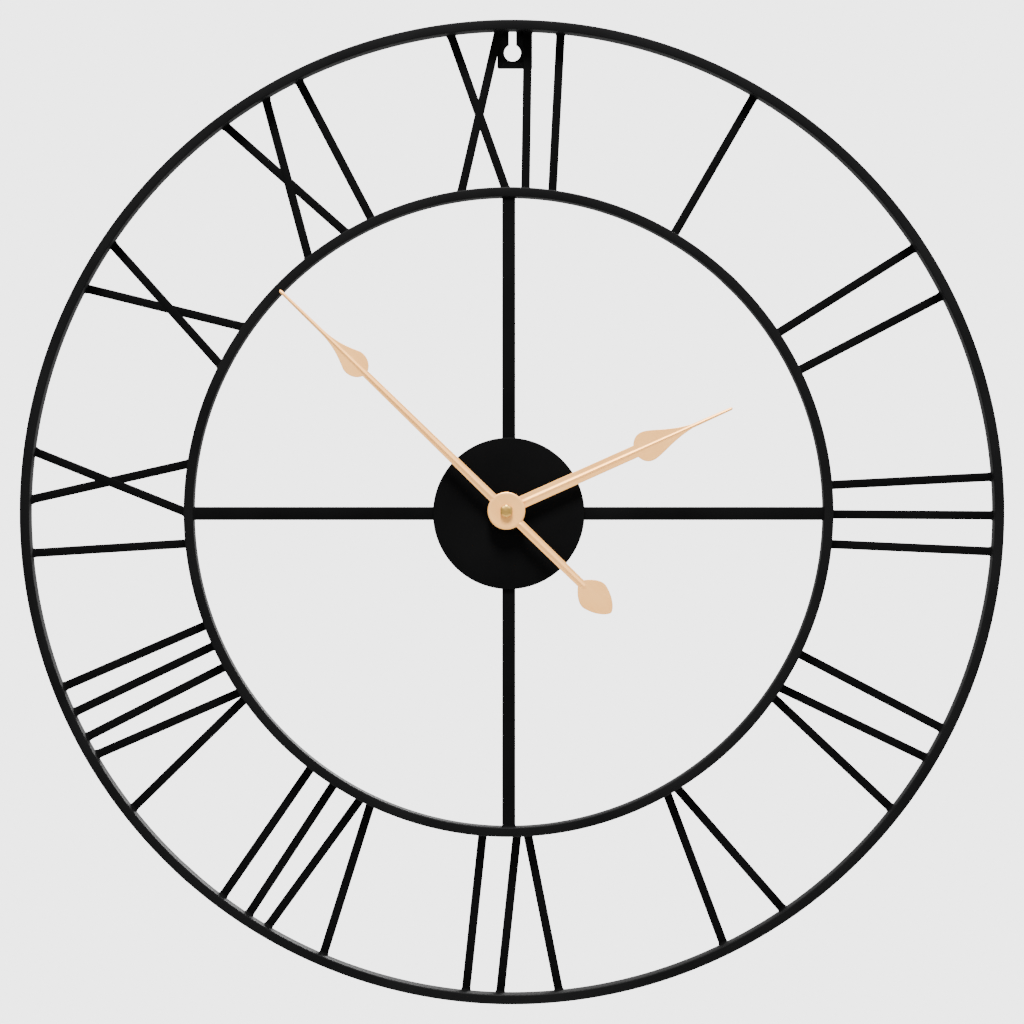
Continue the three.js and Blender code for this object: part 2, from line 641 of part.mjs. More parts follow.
// The stepping motor: a coil on the long leg of a thin iron frame whose other end
// rings the rotor, and the circuit board with its chip and its quartz can.
function addMotor() {
  const half = STATOR_ARM / 2;
  const [bottom, top] = STATOR_LEG;
  const left = STATOR_LEG_X - STATOR_LEG_HALF;
  const right = STATOR_LEG_X + STATOR_LEG_HALF;
  const stator = join([
    block([left, right], [bottom - half, top + half], STATOR_DEPTH),
    block([left, STATOR_RETURN_X[1]], [bottom - half, bottom + half], STATOR_DEPTH),
    block(STATOR_RETURN_X, [bottom - half, ROTOR.y], STATOR_DEPTH),
    block([left, ROTOR.x], [top - half, top + half], STATOR_DEPTH),
    post(ROTOR.x, ROTOR.y, STATOR_EYE[1], ...STATOR_DEPTH),
  ]);
  addPiece('stator', stator.subtract(post(ROTOR.x, ROTOR.y, STATOR_EYE[0], 5, 8)), steel);

  const [start, end] = COIL_LENGTH;
  const spool = turned([
    [COIL_CORE, start], [COIL_CHEEK, start],
    [COIL_CHEEK, start + COIL_CHEEK_THICKNESS], [COIL_WOUND, start + COIL_CHEEK_THICKNESS],
    [COIL_WOUND, end - COIL_CHEEK_THICKNESS], [COIL_CHEEK, end - COIL_CHEEK_THICKNESS],
    [COIL_CHEEK, end], [COIL_CORE, end], [COIL_CORE, start],
  ], 24);
  const middle = (STATOR_DEPTH[0] + STATOR_DEPTH[1]) / 2;
  addPiece('coil', spool.rotate([-90, 0, 0]).translate([STATOR_LEG_X, 0, middle]), copper);

  addPiece('circuit_board', join([
    block(BOARD.x, BOARD.y, BOARD.z),
    post(11, -7.5, 2.2, 2.9, 3.8, 20),
    block([16, 23.5], [-6.5, -4.5], [2.9, 4.8]),
  ]), boardGreen);
}

// ----------------------------------------------------------------------------- assembly

addPiece('outer_ring', ring(OUTER_CENTRE, OUTER_RADIUS), blackCoat);
addPiece('inner_ring', ring(INNER_CENTRE, INNER_RADIUS), blackCoat);
addNumerals();
addSpokes();
addCentreDisc();
addHanger();
addHandStack();
addTrain(addMotionWork());
addCase();
addCover();
addPower();
addMotor();

// Stand the face up: its z axis, out of the wall, becomes -Y, and its y axis +Z.
clock.rotation.x = Math.PI / 2;

export default clock;
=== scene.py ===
# %% [markdown]
# # An open-frame wall clock
# The real clock is a welded frame of black steel strip, with Roman numerals between two rings, and
# a small battery movement behind a round plate that turns two pale gold hands. The design is
# already fixed as a set of plain solids. Here each visible piece is made again with the edges,
# welds, pressed ridges and threads that a solid modeller leaves out, exactly where the design
# says it goes. Loading the frame first means that nothing has to be fitted afterwards.

# %% Load the frame
import math

import bmesh
import bpy
import numpy as np
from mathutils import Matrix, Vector


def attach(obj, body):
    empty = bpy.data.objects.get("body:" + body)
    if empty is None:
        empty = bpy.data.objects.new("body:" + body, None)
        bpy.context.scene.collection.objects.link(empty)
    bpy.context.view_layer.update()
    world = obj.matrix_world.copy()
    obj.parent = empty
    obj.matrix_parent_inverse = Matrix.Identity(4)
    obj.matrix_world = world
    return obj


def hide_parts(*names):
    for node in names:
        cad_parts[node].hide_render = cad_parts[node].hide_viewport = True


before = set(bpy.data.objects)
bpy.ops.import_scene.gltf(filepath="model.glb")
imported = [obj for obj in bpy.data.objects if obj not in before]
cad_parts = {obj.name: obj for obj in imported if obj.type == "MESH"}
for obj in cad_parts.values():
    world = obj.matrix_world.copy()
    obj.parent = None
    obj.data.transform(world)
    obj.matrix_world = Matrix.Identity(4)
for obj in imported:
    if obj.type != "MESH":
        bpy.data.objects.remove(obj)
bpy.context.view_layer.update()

# %% [markdown]
# ## The face frame
# A clock is easiest to draw as its dial is seen: x to the right, y up and z out of the wall
# towards the reader, in millimetres. One function turns such points into Blender's metres, with
# the dial standing up and facing -Y. Another brings a design solid's corners back the other way,
# so that every place below is measured on the design and not typed in again.

# %% Go between the face frame and the scene
MM = 0.001


def in_scene(points):
    """Face frame millimetres to scene metres: (x, y, z) becomes (x, -z, y) / 1000."""
    points = np.asarray(points, float)
    return np.stack([points[..., 0], -points[..., 2], points[..., 1]], axis=-1) * MM


def corners(node):
    """A design solid's corners in the face frame, in millimetres."""
    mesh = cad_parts[node].data
    flat = np.zeros(len(mesh.vertices) * 3)
    mesh.vertices.foreach_get("co", flat)
    x, y, z = flat.reshape(-1, 3).T / MM
    return np.stack([x, z, -y], axis=-1)


def extent(node):
    """The lowest and highest corner of a design solid in the face frame."""
    points = corners(node)
    return points.min(axis=0), points.max(axis=0)


print("outer ring spans", *(np.round(v, 2) for v in extent("outer_ring")))

# %% [markdown]
# ## From a grid of points to a piece
# Nearly every piece here is a surface over a grid: rows run along the piece and columns run round
# it. The faces of such a grid follow from arithmetic on its indices, so one function can serve all
# of them. Rows that shrink to a point close a piece's ends; their doubled points are merged, and
# then the normals of the closed shape are worked out afresh so that every face points outwards.

# %% Turn grids into meshes
def grid_faces(rows, columns, rows_close):
    """Quads between neighbouring rows and columns; columns always close into a loop."""
    last = rows if rows_close else rows - 1
    row = np.arange(last)[:, None]
    column = np.arange(columns)[None, :]
    ahead = (row + 1) % rows
    beside = (column + 1) % columns
    loops = [row * columns + column, row * columns + beside,
             ahead * columns + beside, ahead * columns + column]
    return np.stack([np.broadcast_to(loop, (last, columns)) for loop in loops], -1).reshape(-1, 4)


def around(steps):
    """Angles that share a full turn equally, without repeating the first."""
    return np.linspace(0, 2 * math.pi, steps, endpoint=False)


def capped(grid):
    """The grid with its first and last rows drawn in to their middles, which closes its ends."""
    first = np.broadcast_to(grid[:1].mean(axis=1, keepdims=True), grid[:1].shape)
    last = np.broadcast_to(grid[-1:].mean(axis=1, keepdims=True), grid[-1:].shape)
    return np.concatenate([first, grid, last])


def shaded(mesh, sharp_degrees):
    """Smooth shading, kept crisp at edges that turn by more than the given angle."""
    mesh.shade_smooth()
    mesh.set_sharp_from_angle(angle=math.radians(sharp_degrees))


def closed_mesh(name, grids, rows_close=False):
    """Join one or more grids of face frame points into one closed, outward facing mesh."""
    points, faces, count = [], [], 0
    for grid in grids:
        rows, columns = grid.shape[:2]
        points.append(in_scene(grid).reshape(-1, 3))
        faces.append(grid_faces(rows, columns, rows_close) + count)
        count += rows * columns
    mesh = bpy.data.meshes.new(name)
    mesh.from_pydata(np.concatenate(points).tolist(), [], np.concatenate(faces).tolist())
    work = bmesh.new()
    work.from_mesh(mesh)
    bmesh.ops.remove_doubles(work, verts=work.verts, dist=1e-7)
    bmesh.ops.recalc_face_normals(work, faces=work.faces)
    work.to_mesh(mesh)
    work.free()
    return mesh


def placed(name, mesh):
    """An object for a mesh, linked into the scene."""
    made = bpy.data.objects.new(name, mesh)
    bpy.context.scene.collection.objects.link(made)
    return made


def add_piece(name, grids, material, body="frame", replaces=(), rows_close=False, sharp=38):
    """A finished piece from its grids; one that stands for a design solid gets _made added."""
    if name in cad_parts:
        name += "_made"
    mesh = closed_mesh(name, grids, rows_close)
    shaded(mesh, sharp)
    mesh.materials.append(material)
    piece = placed(name, mesh)
    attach(piece, body)
    if replaces:
        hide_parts(*replaces)
    print(f"{name}: {len(mesh.polygons)} faces")
    return piece


# %% [markdown]
# ## Shader maths as plain expressions
# A material's pattern is a small sum: some noise times a weight, plus a constant. Written with
# nodes by hand that takes a page, so a socket is wrapped in a class whose operators add the Math
# nodes. Everything else, such as a noise or a colour ramp, comes from one method that sets the
# node's options first and then its inputs.

# %% Wrap sockets so that materials read as sums
class Wire:
    """A node's output. Arithmetic on it adds Math nodes to its material."""

    def __init__(self, material, socket):
        self.material = material
        self.socket = socket

    def math(self, operation, *others):
        values = dict(enumerate((self, *others)))
        return self.material.node("ShaderNodeMath", values, operation=operation)

    def __add__(self, other):
        return self.math("ADD", other)

    def __mul__(self, other):
        return self.math("MULTIPLY", other)

    def __sub__(self, other):
        return self.math("SUBTRACT", other)

    def __rsub__(self, other):
        return (self * -1.0) + other

    __radd__ = __add__
    __rmul__ = __mul__


class Finish:
    """A material under construction, with its Principled shader ready."""

    def __init__(self, name, **constants):
        self.made = bpy.data.materials.new(name)
        self.made.use_nodes = True
        self.tree = self.made.node_tree
        self.shader = self.tree.nodes["Principled BSDF"]
        for socket, value in constants.items():
            self.shader.inputs[socket.replace("_", " ")].default_value = value

    def node(self, kind, inputs=(), output=0, stops=(), **settings):
        """Add a node: its settings first, then each input as a value or a wire."""
        made = self.tree.nodes.new(kind)
        for key, value in settings.items():
            setattr(made, key, value)
        for index, (place, colour) in enumerate(stops):
            if index > 1:
                made.color_ramp.elements.new(place)
            made.color_ramp.elements[index].position = place
            made.color_ramp.elements[index].color = colour
        for key, value in dict(inputs).items():
            self.feed(made.inputs[key], value)
        return Wire(self, made.outputs[output])

    def feed(self, socket, value):
        if isinstance(value, Wire):
            self.tree.links.new(value.socket, socket)
        else:
            socket.default_value = value

    def place(self):
        """The point in the piece's own frame, in metres."""
        return self.node("ShaderNodeTexCoord", output="Object")

    def noise(self, per_metre, detail=3.0, at=None):
        inputs = {"Vector": at or self.place(), "Scale": per_metre, "Detail": detail}
        return self.node("ShaderNodeTexNoise", inputs)

    def stretched(self, x, y, z):
        """The point with each axis scaled, which draws a pattern out along the small ones."""
        inputs = {"Vector": self.place(), "Scale": (x, y, z)}
        return self.node("ShaderNodeMapping", inputs)

    def ramp(self, wire, *stops):
        return self.node("ShaderNodeValToRGB", {"Fac": wire}, stops=stops)

    def colour(self, wire):
        self.feed(self.shader.inputs["Base Color"], wire)

    def rough(self, wire):
        self.feed(self.shader.inputs["Roughness"], wire)

    def bump(self, wire, depth_mm, strength=1.0):
        inputs = {"Height": wire, "Distance": depth_mm * MM, "Strength": strength}
        self.feed(self.shader.inputs["Normal"], self.node("ShaderNodeBump", inputs))


def grey(value, alpha=1.0):
    return (value, value, value, alpha)


# %% [markdown]
# ## Black powder coat
# Powder coat is plastic dust baked on to steel. It is nearly black, and it gives itself away by
# its surface: a fine orange peel under a broad soft sheen, a little duller where more powder fell.
# Noise at two sizes gives both. The bump is shallow, because a deep one would read as cast iron.
# The strips' coat is a darker, less glossy copy of the rings' coat: painted shade for the strips,
# which lie deeper, behind the rings. Two strengths of one recipe keep the family likeness.

# %% Make the powder coat
def powder_coat(name, depth_of_black, gloss):
    coat = Finish(name, Metallic=0.0, Specular_IOR_Level=gloss)
    cloud = coat.noise(per_metre=22.0, detail=4.0)
    peel = coat.noise(per_metre=900.0, detail=2.0)
    dust = coat.noise(per_metre=2600.0, detail=1.0)
    low, high = depth_of_black * 0.7, depth_of_black * 1.35
    coat.colour(coat.ramp(cloud + dust * 0.12, (0.35, (low, low, low * 1.06, 1.0)),
                          (0.75, (high, high, high * 1.04, 1.0))))
    coat.rough(cloud * 0.16 + peel * 0.08 + 0.40)
    coat.bump(peel + dust * 0.35, depth_mm=0.035, strength=0.5)
    return coat.made


ring_coat = powder_coat("powder_coat_ring", depth_of_black=0.0022, gloss=0.06)
# The strip coat's deeper black is painted shade for the strips set back behind the rings.
strip_coat_painted_shade = powder_coat("powder_coat_strip_painted_shade", depth_of_black=0.0013, gloss=0.035)
print("coats:", ring_coat.name, strip_coat_painted_shade.name)

# %% [markdown]
# ## Profiles that are carried along a path
# Flat bar is the whole frame's raw material, and its section is a rectangle with slightly rounded
# corners. The section is worked out once, with the outward direction at each of its points, so
# that it can also swell: moved outwards by some amount it becomes a weld's fillet.

# %% Work out a flat bar's section and carry it along
def bar_section(width, height, radius, steps=4):
    """Four quarter circles joined by straight sides: (points, outward directions)."""
    corner = np.arange(4)[:, None]
    angle = (corner + np.linspace(0, 1, steps + 1)[None, :]) * (math.pi / 2)
    outward = np.stack([np.cos(angle), np.sin(angle)], axis=-1)
    signs = np.array([[1, 1], [-1, 1], [-1, -1], [1, -1]])[:, None, :]
    middle = signs * np.array([width / 2 - radius, height / 2 - radius])
    return (middle + radius * outward).reshape(-1, 2), outward.reshape(-1, 2)


def carried(profile, places, across, up):
    """Each place on a path plus the profile's two measures along its own two directions."""
    profile = np.broadcast_to(profile, (len(places), *profile.shape[-2:]))
    return (places[:, None, :] + profile[..., :1] * across[:, None, :]
            + profile[..., 1:] * up[:, None, :])


# %% [markdown]
# ## The two rings
# Each ring is 16 mm bar bent on edge into a hoop and butt welded. It could be a torus with a
# square section, but a real bar keeps its rounded mill edges and has one dressed weld, so the
# section goes round a circle and bulges very slightly where its ends meet. The outer ring's joint
# is put low on the left, where a maker would hide it, and the inner ring's opposite.

# %% Bend the rings
BAR_EDGE = 0.7          # radius of the bar's rolled edges
RING_STEPS = 720
JOINT_BULGE = 0.12
WITHIN = 0.002          # keeps a round piece inside its design's box despite rounding
JOINT_LENGTH = 5.0


def ring_measures(node):
    """Centre, outer radius, wall and depth of a ring, measured on its design solid."""
    low, high = extent(node)
    middle = (low + high) / 2
    radii = np.hypot(*(corners(node)[:, :2] - middle[:2]).T)
    return middle, radii.max() - WITHIN, radii.max() - radii.min(), high[2] - low[2]


def ring(node, joint_degrees):
    """The bar's section carried round a circle, swollen by a bell curve at the joint."""
    middle, outer, wall, depth = ring_measures(node)
    turn = around(RING_STEPS)
    radial = np.stack([np.sin(turn), np.cos(turn), 0 * turn], axis=-1)
    section, outward = bar_section(wall, depth, BAR_EDGE)
    off_joint = (turn - math.radians(joint_degrees)) * outer
    swell = JOINT_BULGE * np.exp(-((off_joint / JOINT_LENGTH) ** 2))
    profile = section[None] + swell[:, None, None] * outward[None]
    places = middle + radial * (outer - wall / 2)
    grid = carried(profile, places, radial, np.tile([0.0, 0.0, 1.0], (RING_STEPS, 1)))
    add_piece(node, [grid], ring_coat, replaces=[node], rows_close=True)
    return middle, outer, wall


outer_middle, outer_radius, ring_wall = ring("outer_ring", joint_degrees=222)
inner_middle, inner_radius, inner_wall = ring("inner_ring", joint_degrees=44)
print("rings", round(outer_radius, 2), round(inner_radius, 2), "wall", round(ring_wall, 2))

# %% [markdown]
# ## The numerals
# The numerals are strips cut to length and welded between the rings. On the design each strip
# stops a hair short of both rings, so its feet and heads are read from its corners, and the new
# strip runs on into the ring's wall and spreads into a small fillet of weld there. A letter of two
# strips has two feet and two heads: in a V they pair up side by side, and in an X crosswise.

# %% Find where each strip starts and ends
STRIP_EDGE = 0.45
FILLET = 0.35           # how far a weld stands out from its strip
FILLET_LENGTH = 1.6
INTO_RING = 1.0         # how far a strip's end is buried in the ring's wall


def clock_angle(points, middle):
    """Angles clockwise from twelve, in radians, round a ring's middle."""
    return np.arctan2(points[:, 0] - middle[0], points[:, 1] - middle[1])


def end_points(node, middle, radius, strip_width, slant=0.0):
    """The middles of the strips' ends that lie near a circle, in clockwise order."""
    flat = corners(node)[:, :2]
    near = flat[np.abs(np.hypot(*(flat - middle[:2]).T) - radius) < 2.0]
    facing = math.atan2(*(near.mean(axis=0) - middle[:2]))
    angle = (clock_angle(near, middle) - facing + math.pi) % (2 * math.pi) - math.pi
    inset = strip_width / 2 / math.cos(slant) / radius
    first, last = angle.min() + inset, angle.max() - inset
    ends = [first] if last - first < inset else [first, last]
    turn = np.array(ends) + facing
    return middle[:2] + radius * np.stack([np.sin(turn), np.cos(turn)], axis=-1)


def strips_of(node, strip_width):
    """(foot, head) of each strip of a letter, twice over so that its slant counts."""
    slant = 0.0
    for _ in range(2):
        feet = end_points(node, inner_middle, inner_radius, strip_width, slant)
        heads = end_points(node, outer_middle, outer_radius - ring_wall, strip_width, slant)
        if node.endswith("_x"):
            heads = heads[::-1]
        along = heads[0] - feet[0]
        radial = heads[0] - outer_middle[:2]
        cross = along[0] * radial[1] - along[1] * radial[0]
        slant = math.asin(min(1.0, abs(cross) / np.linalg.norm(along) / np.linalg.norm(radial)))
    return list(zip(feet, heads))


numeral_nodes = sorted(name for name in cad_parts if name.startswith("numeral_"))
upright = corners("numeral_12_i1")
STRIP_WIDTH = 5.3
CROSSING_STEP = 0.05    # how much thinner each side of a crossing strip is
strip_low, strip_high = upright[:, 2].min(), upright[:, 2].max()
print(len(numeral_nodes), "letters; the strip is", round(strip_high - strip_low, 2), "mm thick")

# %% [markdown]
# A strip is its section carried along a straight line. Close to each ring the section swells by a
# curve that falls away with the square of the distance, as a fillet does, and a small ripple goes
# round the swelling, because a bead is laid in overlapping drops. Where two strips cross, the
# joint is ground flush, and one of them is a trace thinner, so that no two faces lie in one plane.

# %% Weld the strips in
def strip_grid(foot, head, width, low, high, start_weld=True, end_weld=True, thinner=0.0):
    """The section along a line, swollen near the welded ends, with both ends closed."""
    along = head - foot
    length = np.linalg.norm(along)
    along = along / length
    start = -INTO_RING if start_weld else 0.0
    end = length + (INTO_RING if end_weld else 0.0)
    near = np.array([0.0, 0.25, 0.5, 0.8, 1.2, 1.7, 2.4])
    distance = np.unique(np.concatenate([
        [start], near, np.linspace(3.5, length - 3.5, 9), length - near, [end],
    ]))
    from_end = length - distance
    reach = np.clip(1 - np.maximum(distance, 0) / FILLET_LENGTH, 0, 1) ** 2 * start_weld
    reach = reach + np.clip(1 - np.maximum(from_end, 0) / FILLET_LENGTH, 0, 1) ** 2 * end_weld
    section, outward = bar_section(width, high - low - 2 * thinner, STRIP_EDGE)
    ripple = 1 + 0.18 * np.sin(np.arange(len(section)) * 2.1)
    profile = section[None] + (FILLET * reach[:, None] * ripple[None])[..., None] * outward[None]
    places = np.zeros((len(distance), 3))
    places[:, :2] = foot + distance[:, None] * along
    places[:, 2] = (low + high) / 2
    side = np.tile([along[1], -along[0], 0.0], (len(distance), 1))
    up = np.tile([0.0, 0.0, 1.0], (len(distance), 1))
    return capped(carried(profile, places, side, up))


for node in numeral_nodes:
    grids = []
    for index, (foot, head) in enumerate(strips_of(node, STRIP_WIDTH)):
        grids.append(strip_grid(foot, head, STRIP_WIDTH, strip_low, strip_high,
                                thinner=CROSSING_STEP * index))
    add_piece(node, grids, strip_coat_painted_shade, replaces=[node])

# %% [markdown]
# ## Spokes and centre plate
# The four spokes are wider strip. Each is welded to the inner ring and runs under the rim of the
# round plate, to which it is stitched from behind by a short bead on each side. The plate is
# sheet with a punched hole, so its edge is round on the front, where the punch drew the metal in,
# and square behind.

# %% Set the spokes
def spoke(node):
    low, high = extent(node)
    middle = (low + high)[:2] / 2
    upright = high[1] - low[1] > high[0] - low[0]
    axis = 1 if upright else 0
    width = (high - low)[1 - axis]
    ends = np.array([middle, middle])
    ends[0, axis], ends[1, axis] = low[axis], high[axis]
    inner, outer = sorted(ends, key=lambda end: np.hypot(*end))
    direction = (outer - inner) / np.linalg.norm(outer - inner)
    gap = inner_radius - inner_wall - np.linalg.norm(outer - inner_middle[:2])
    outer = outer + direction * gap
    grid = strip_grid(inner, outer, width, low[2], high[2], start_weld=False)
    add_piece(node, [grid], strip_coat_painted_shade, replaces=[node])
    return inner, direction, width, low[2]


spoke_names = ["spoke_top", "spoke_right", "spoke_bottom", "spoke_left"]
spoke_ends = [spoke(name) for name in spoke_names]
print("spokes are", round(spoke_ends[0][2], 2), "mm wide")

# %% Turn the plate
def lathe(profile, middle=(0.0, 0.0), steps=96):
    """A profile of (radius, height) points turned round a line out of the wall."""
    profile = np.asarray(profile, float)
    turn = around(steps)
    radius, height = profile[:, 0][:, None], profile[:, 1][:, None]
    return np.stack([middle[0] + radius * np.cos(turn), middle[1] + radius * np.sin(turn),
                     height + 0 * turn], axis=-1)


def rounded_edge(radius, height, edge, start, end, steps=6):
    """Points of an arc about (radius, height), from one angle in degrees to another."""
    angle = np.radians(np.linspace(start, end, steps))
    return np.stack([radius + edge * np.cos(angle), height + edge * np.sin(angle)], axis=-1)


disc_low, disc_high = extent("centre_disc")
disc_middle = (disc_low + disc_high)[:2] / 2
disc_radius = (disc_high - disc_low)[0] / 2
DISC_HOLE = 5.0
DISC_EDGE = 0.5
disc_profile = np.concatenate([
    [[DISC_HOLE, disc_low[2]], [disc_radius - 0.1, disc_low[2]]],
    rounded_edge(disc_radius - DISC_EDGE, disc_high[2] - DISC_EDGE, DISC_EDGE, 0, 90),
    [[disc_radius * 0.6, disc_high[2]]],
    rounded_edge(DISC_HOLE + 0.3, disc_high[2] - 0.3, 0.3, 90, 180),
    [[DISC_HOLE, disc_low[2]]],
])


def turned_ring(profile, middle=(0.0, 0.0), steps=96):
    """A profile that ends where it starts, turned round, with the rows round the axis."""
    rows = np.swapaxes(lathe(profile[:-1], middle, steps), 0, 1)
    return np.concatenate([rows, rows[:1]])


add_piece("centre_disc", [turned_ring(disc_profile, disc_middle, 192)], strip_coat_painted_shade,
          replaces=["centre_disc"])

# %% [markdown]
# ## Beads of weld
# A bead is a half-round rope of metal whose surface steps forward in little scales. Its section
# is a circle whose radius goes up and down along the bead, tapering to nothing at both ends. The
# beads on the back of the plate and along the hanger are what you see when you take the clock
# down, so they're worth having.

# %% Lay the beads
BEAD_RADIUS = 1.3
BEAD_SCALE = 1.6        # length of one scale
BEAD_SIDES = 12


def bead_grid(start, end, radius=BEAD_RADIUS, steps=40):
    """A circle along a line: radius = taper times (1 + a sawtooth ripple)."""
    start, end = np.asarray(start, float), np.asarray(end, float)
    along = end - start
    length = np.linalg.norm(along)
    t = np.linspace(0, 1, steps)
    taper = np.clip(np.minimum(t, 1 - t) * length / radius, 0, 1)
    taper = np.sqrt(1 - (1 - taper) ** 2)
    scale = 1 + 0.12 * (1 - (t * length / BEAD_SCALE) % 1.0)
    turn = around(BEAD_SIDES)
    profile = np.stack([np.cos(turn), np.sin(turn)], axis=-1)
    profile = profile[None] * (radius * taper * scale)[:, None, None]
    along = along / length
    side = np.array([along[1], -along[0], 0.0])
    places = start + t[:, None] * length * along
    return carried(profile, places, np.tile(side, (steps, 1)), np.tile([0.0, 0.0, 1.0], (steps, 1)))


beads = []
for inner, direction, width, back in spoke_ends:
    for side in (-1, 1):
        across = np.array([direction[1], -direction[0]]) * side * width / 2
        start = inner + across + direction * 1.5
        end = inner + across + direction * 10.5
        height = disc_low[2] - 0.3
        beads.append(bead_grid([*start, height], [*end, height]))
add_piece("plate_welds", beads, strip_coat_painted_shade)

# %% [markdown]
# ## The keyhole hanger
# The hanger is a stamped tab. A screw's head goes in at the round hole and its neck slides up
# into the slot. Both outlines, the tab's and the keyhole's, are drawn as radii about one point in
# the round hole, so that a ruled surface between them makes the sheet, and its edges get the
# small radius that a press leaves.

# %% Stamp the hanger
hanger_low, hanger_high = extent("hanger_plate")
hanger = corners("hanger_plate")
inner_corners = hanger[(np.abs(hanger[:, 0] - (hanger_low + hanger_high)[0] / 2) < 9.5)
                       & (hanger[:, 1] > hanger_low[1] + 1) & (hanger[:, 1] < hanger_high[1] - 1)]
key_x = (inner_corners[:, 0].min() + inner_corners[:, 0].max()) / 2
KEY_RADIUS = (inner_corners[:, 0].max() - inner_corners[:, 0].min()) / 2
key_y = inner_corners[:, 1].min() + KEY_RADIUS
slot_top = inner_corners[:, 1].max()
SLOT_HALF = 2.2
TAB_EDGE = 0.35
RING_DEPTH = 16.0
TINY = 1e-9             # keeps a division from meeting zero
print("keyhole", round(2 * KEY_RADIUS, 2), "mm, slot top at", round(slot_top, 2))


def reach_to_box(angle, middle, low, high):
    """Distance from the middle to a rectangle's edge along each angle from +x."""
    reaches = []
    for axis, share in enumerate((np.cos(angle), np.sin(angle))):
        side = np.where(share > 0, high[axis] - middle[axis], low[axis] - middle[axis])
        reaches.append(np.abs(side / np.where(np.abs(share) < TINY, TINY, share)))
    return np.minimum(*reaches)


def reach_to_keyhole(angle):
    """Distance to the round hole, or inside the slot's angles to its sides and round top."""
    c, s = np.cos(angle), np.sin(angle)
    side = SLOT_HALF / np.maximum(np.abs(c), TINY)
    top_middle = slot_top - SLOT_HALF - key_y
    to_top = top_middle * s + np.sqrt(np.maximum(SLOT_HALF ** 2 - (top_middle * c) ** 2, 0))
    slot = np.where(side * s < top_middle, side, to_top)
    return np.where((s > 0) & (side > KEY_RADIUS), np.maximum(slot, KEY_RADIUS), KEY_RADIUS)


def hanger_grid():
    """Ruled between keyhole and tab edge, front and back, with pressed edges."""
    slot_angle = math.acos(SLOT_HALF / KEY_RADIUS)
    spread = np.concatenate([
        np.linspace(math.pi - slot_angle, 2 * math.pi + slot_angle, 60, endpoint=False),
        np.linspace(slot_angle, math.pi - slot_angle, 61)[:-1],
    ])
    middle = np.array([key_x, key_y])
    hole = reach_to_keyhole(spread)
    edge = reach_to_box(spread, middle, hanger_low, hanger_high)
    back, front = hanger_low[2], hanger_high[2]
    r = TAB_EDGE
    rings = [(hole, back, r), (hole, back + r, 0), (hole, front - r, 0), (hole, front, r),
             (edge, front, -r), (edge, front - r, 0), (edge, back + r, 0), (edge, back, -r)]
    rows = []
    for reach, height, inset in rings:
        radius = reach + inset
        rows.append(np.stack([key_x + radius * np.cos(spread), key_y + radius * np.sin(spread),
                              height + 0 * spread], axis=-1))
    return np.stack(rows)


add_piece("hanger_plate", [hanger_grid()], ring_coat,
          replaces=["hanger_plate"], rows_close=True, sharp=50)
ring_back = outer_middle[2] - RING_DEPTH / 2
tab_rise = outer_radius - ring_wall
tab_beads = []
for x in (hanger_low[0] + 0.2, hanger_high[0] - 0.2):
    y = outer_middle[1] + math.sqrt(tab_rise ** 2 - (x - outer_middle[0]) ** 2)
    height = ring_back - 0.4
    tab_beads.append(bead_grid([x, y + 0.6, height], [x, hanger_high[1] - 1, height], 0.9, 24))
add_piece("hanger_welds", tab_beads, strip_coat_painted_shade)

# %% [markdown]
# ## Pale gold for the hands
# The hands are pressed from aluminium sheet and lacquered a pale rose gold. The lacquer is thin, so
# the metal under it shows as a soft gleam with a fine brushed grain along each hand. A metal shader
# alone would mirror the white room and lose its colour, so it is only part metal.

# %% Make the gold
def hand_gold(name, degrees):
    gold = Finish(name, Metallic=0.45, Specular_IOR_Level=0.25)
    turned = gold.node("ShaderNodeMapping", {
        "Vector": gold.place(), "Rotation": (0.0, -math.radians(degrees), 0.0)})
    grain_place = gold.node("ShaderNodeMapping", {"Vector": turned, "Scale": (2600, 200, 60)})
    grain = gold.noise(per_metre=1.0, detail=4.0, at=grain_place)
    cloud = gold.noise(per_metre=45.0, detail=3.0)
    fleck = gold.noise(per_metre=1500.0, detail=2.0)
    gold.colour(gold.ramp(grain * 0.5 + cloud * 0.5, (0.3, (0.96, 0.45, 0.12, 1.0)),
                          (0.7, (1.0, 0.52, 0.165, 1.0))))
    gold.rough(cloud * 0.10 + grain * 0.10 + 0.36)
    gold.bump(grain * 0.6 + fleck * 0.4, depth_mm=0.012, strength=0.35)
    return gold.made


MINUTE_ANGLE = 314.2
HOUR_ANGLE = 65.9
minute_gold = hand_gold("gold_minute", MINUTE_ANGLE)
hour_gold = hand_gold("gold_hour", HOUR_ANGLE)
print("gold:", minute_gold.name, hour_gold.name)

# %% [markdown]
# ## Pressed hands
# A hand is cut from thin sheet and pressed, so that a ridge stands along its middle and its
# rim stays flat. An extruded outline would miss the ridge and the soft edge that a press leaves.
# So each cross-section is made from the design's outline: flat at the rim, rising to the ridge in
# the middle, with the back parallel to the front where the sheet bends. The rows run from the
# tail to the tip, and the half width at each row comes from the same curves as the design's.

# %% Draw the outlines
def cubic(start, one, two, end, steps=14):
    """Points of a cubic curve after its start."""
    t = np.linspace(0, 1, steps + 1)[1:, None]
    start, one, two, end = (np.asarray(p, float) for p in (start, one, two, end))
    return ((1 - t) ** 3 * start + 3 * (1 - t) ** 2 * t * one
            + 3 * (1 - t) * t ** 2 * two + t ** 3 * end)


def straight(start, end, steps):
    t = np.linspace(0, 1, steps + 1)[1:, None]
    return np.asarray(start, float) * (1 - t) + np.asarray(end, float) * t


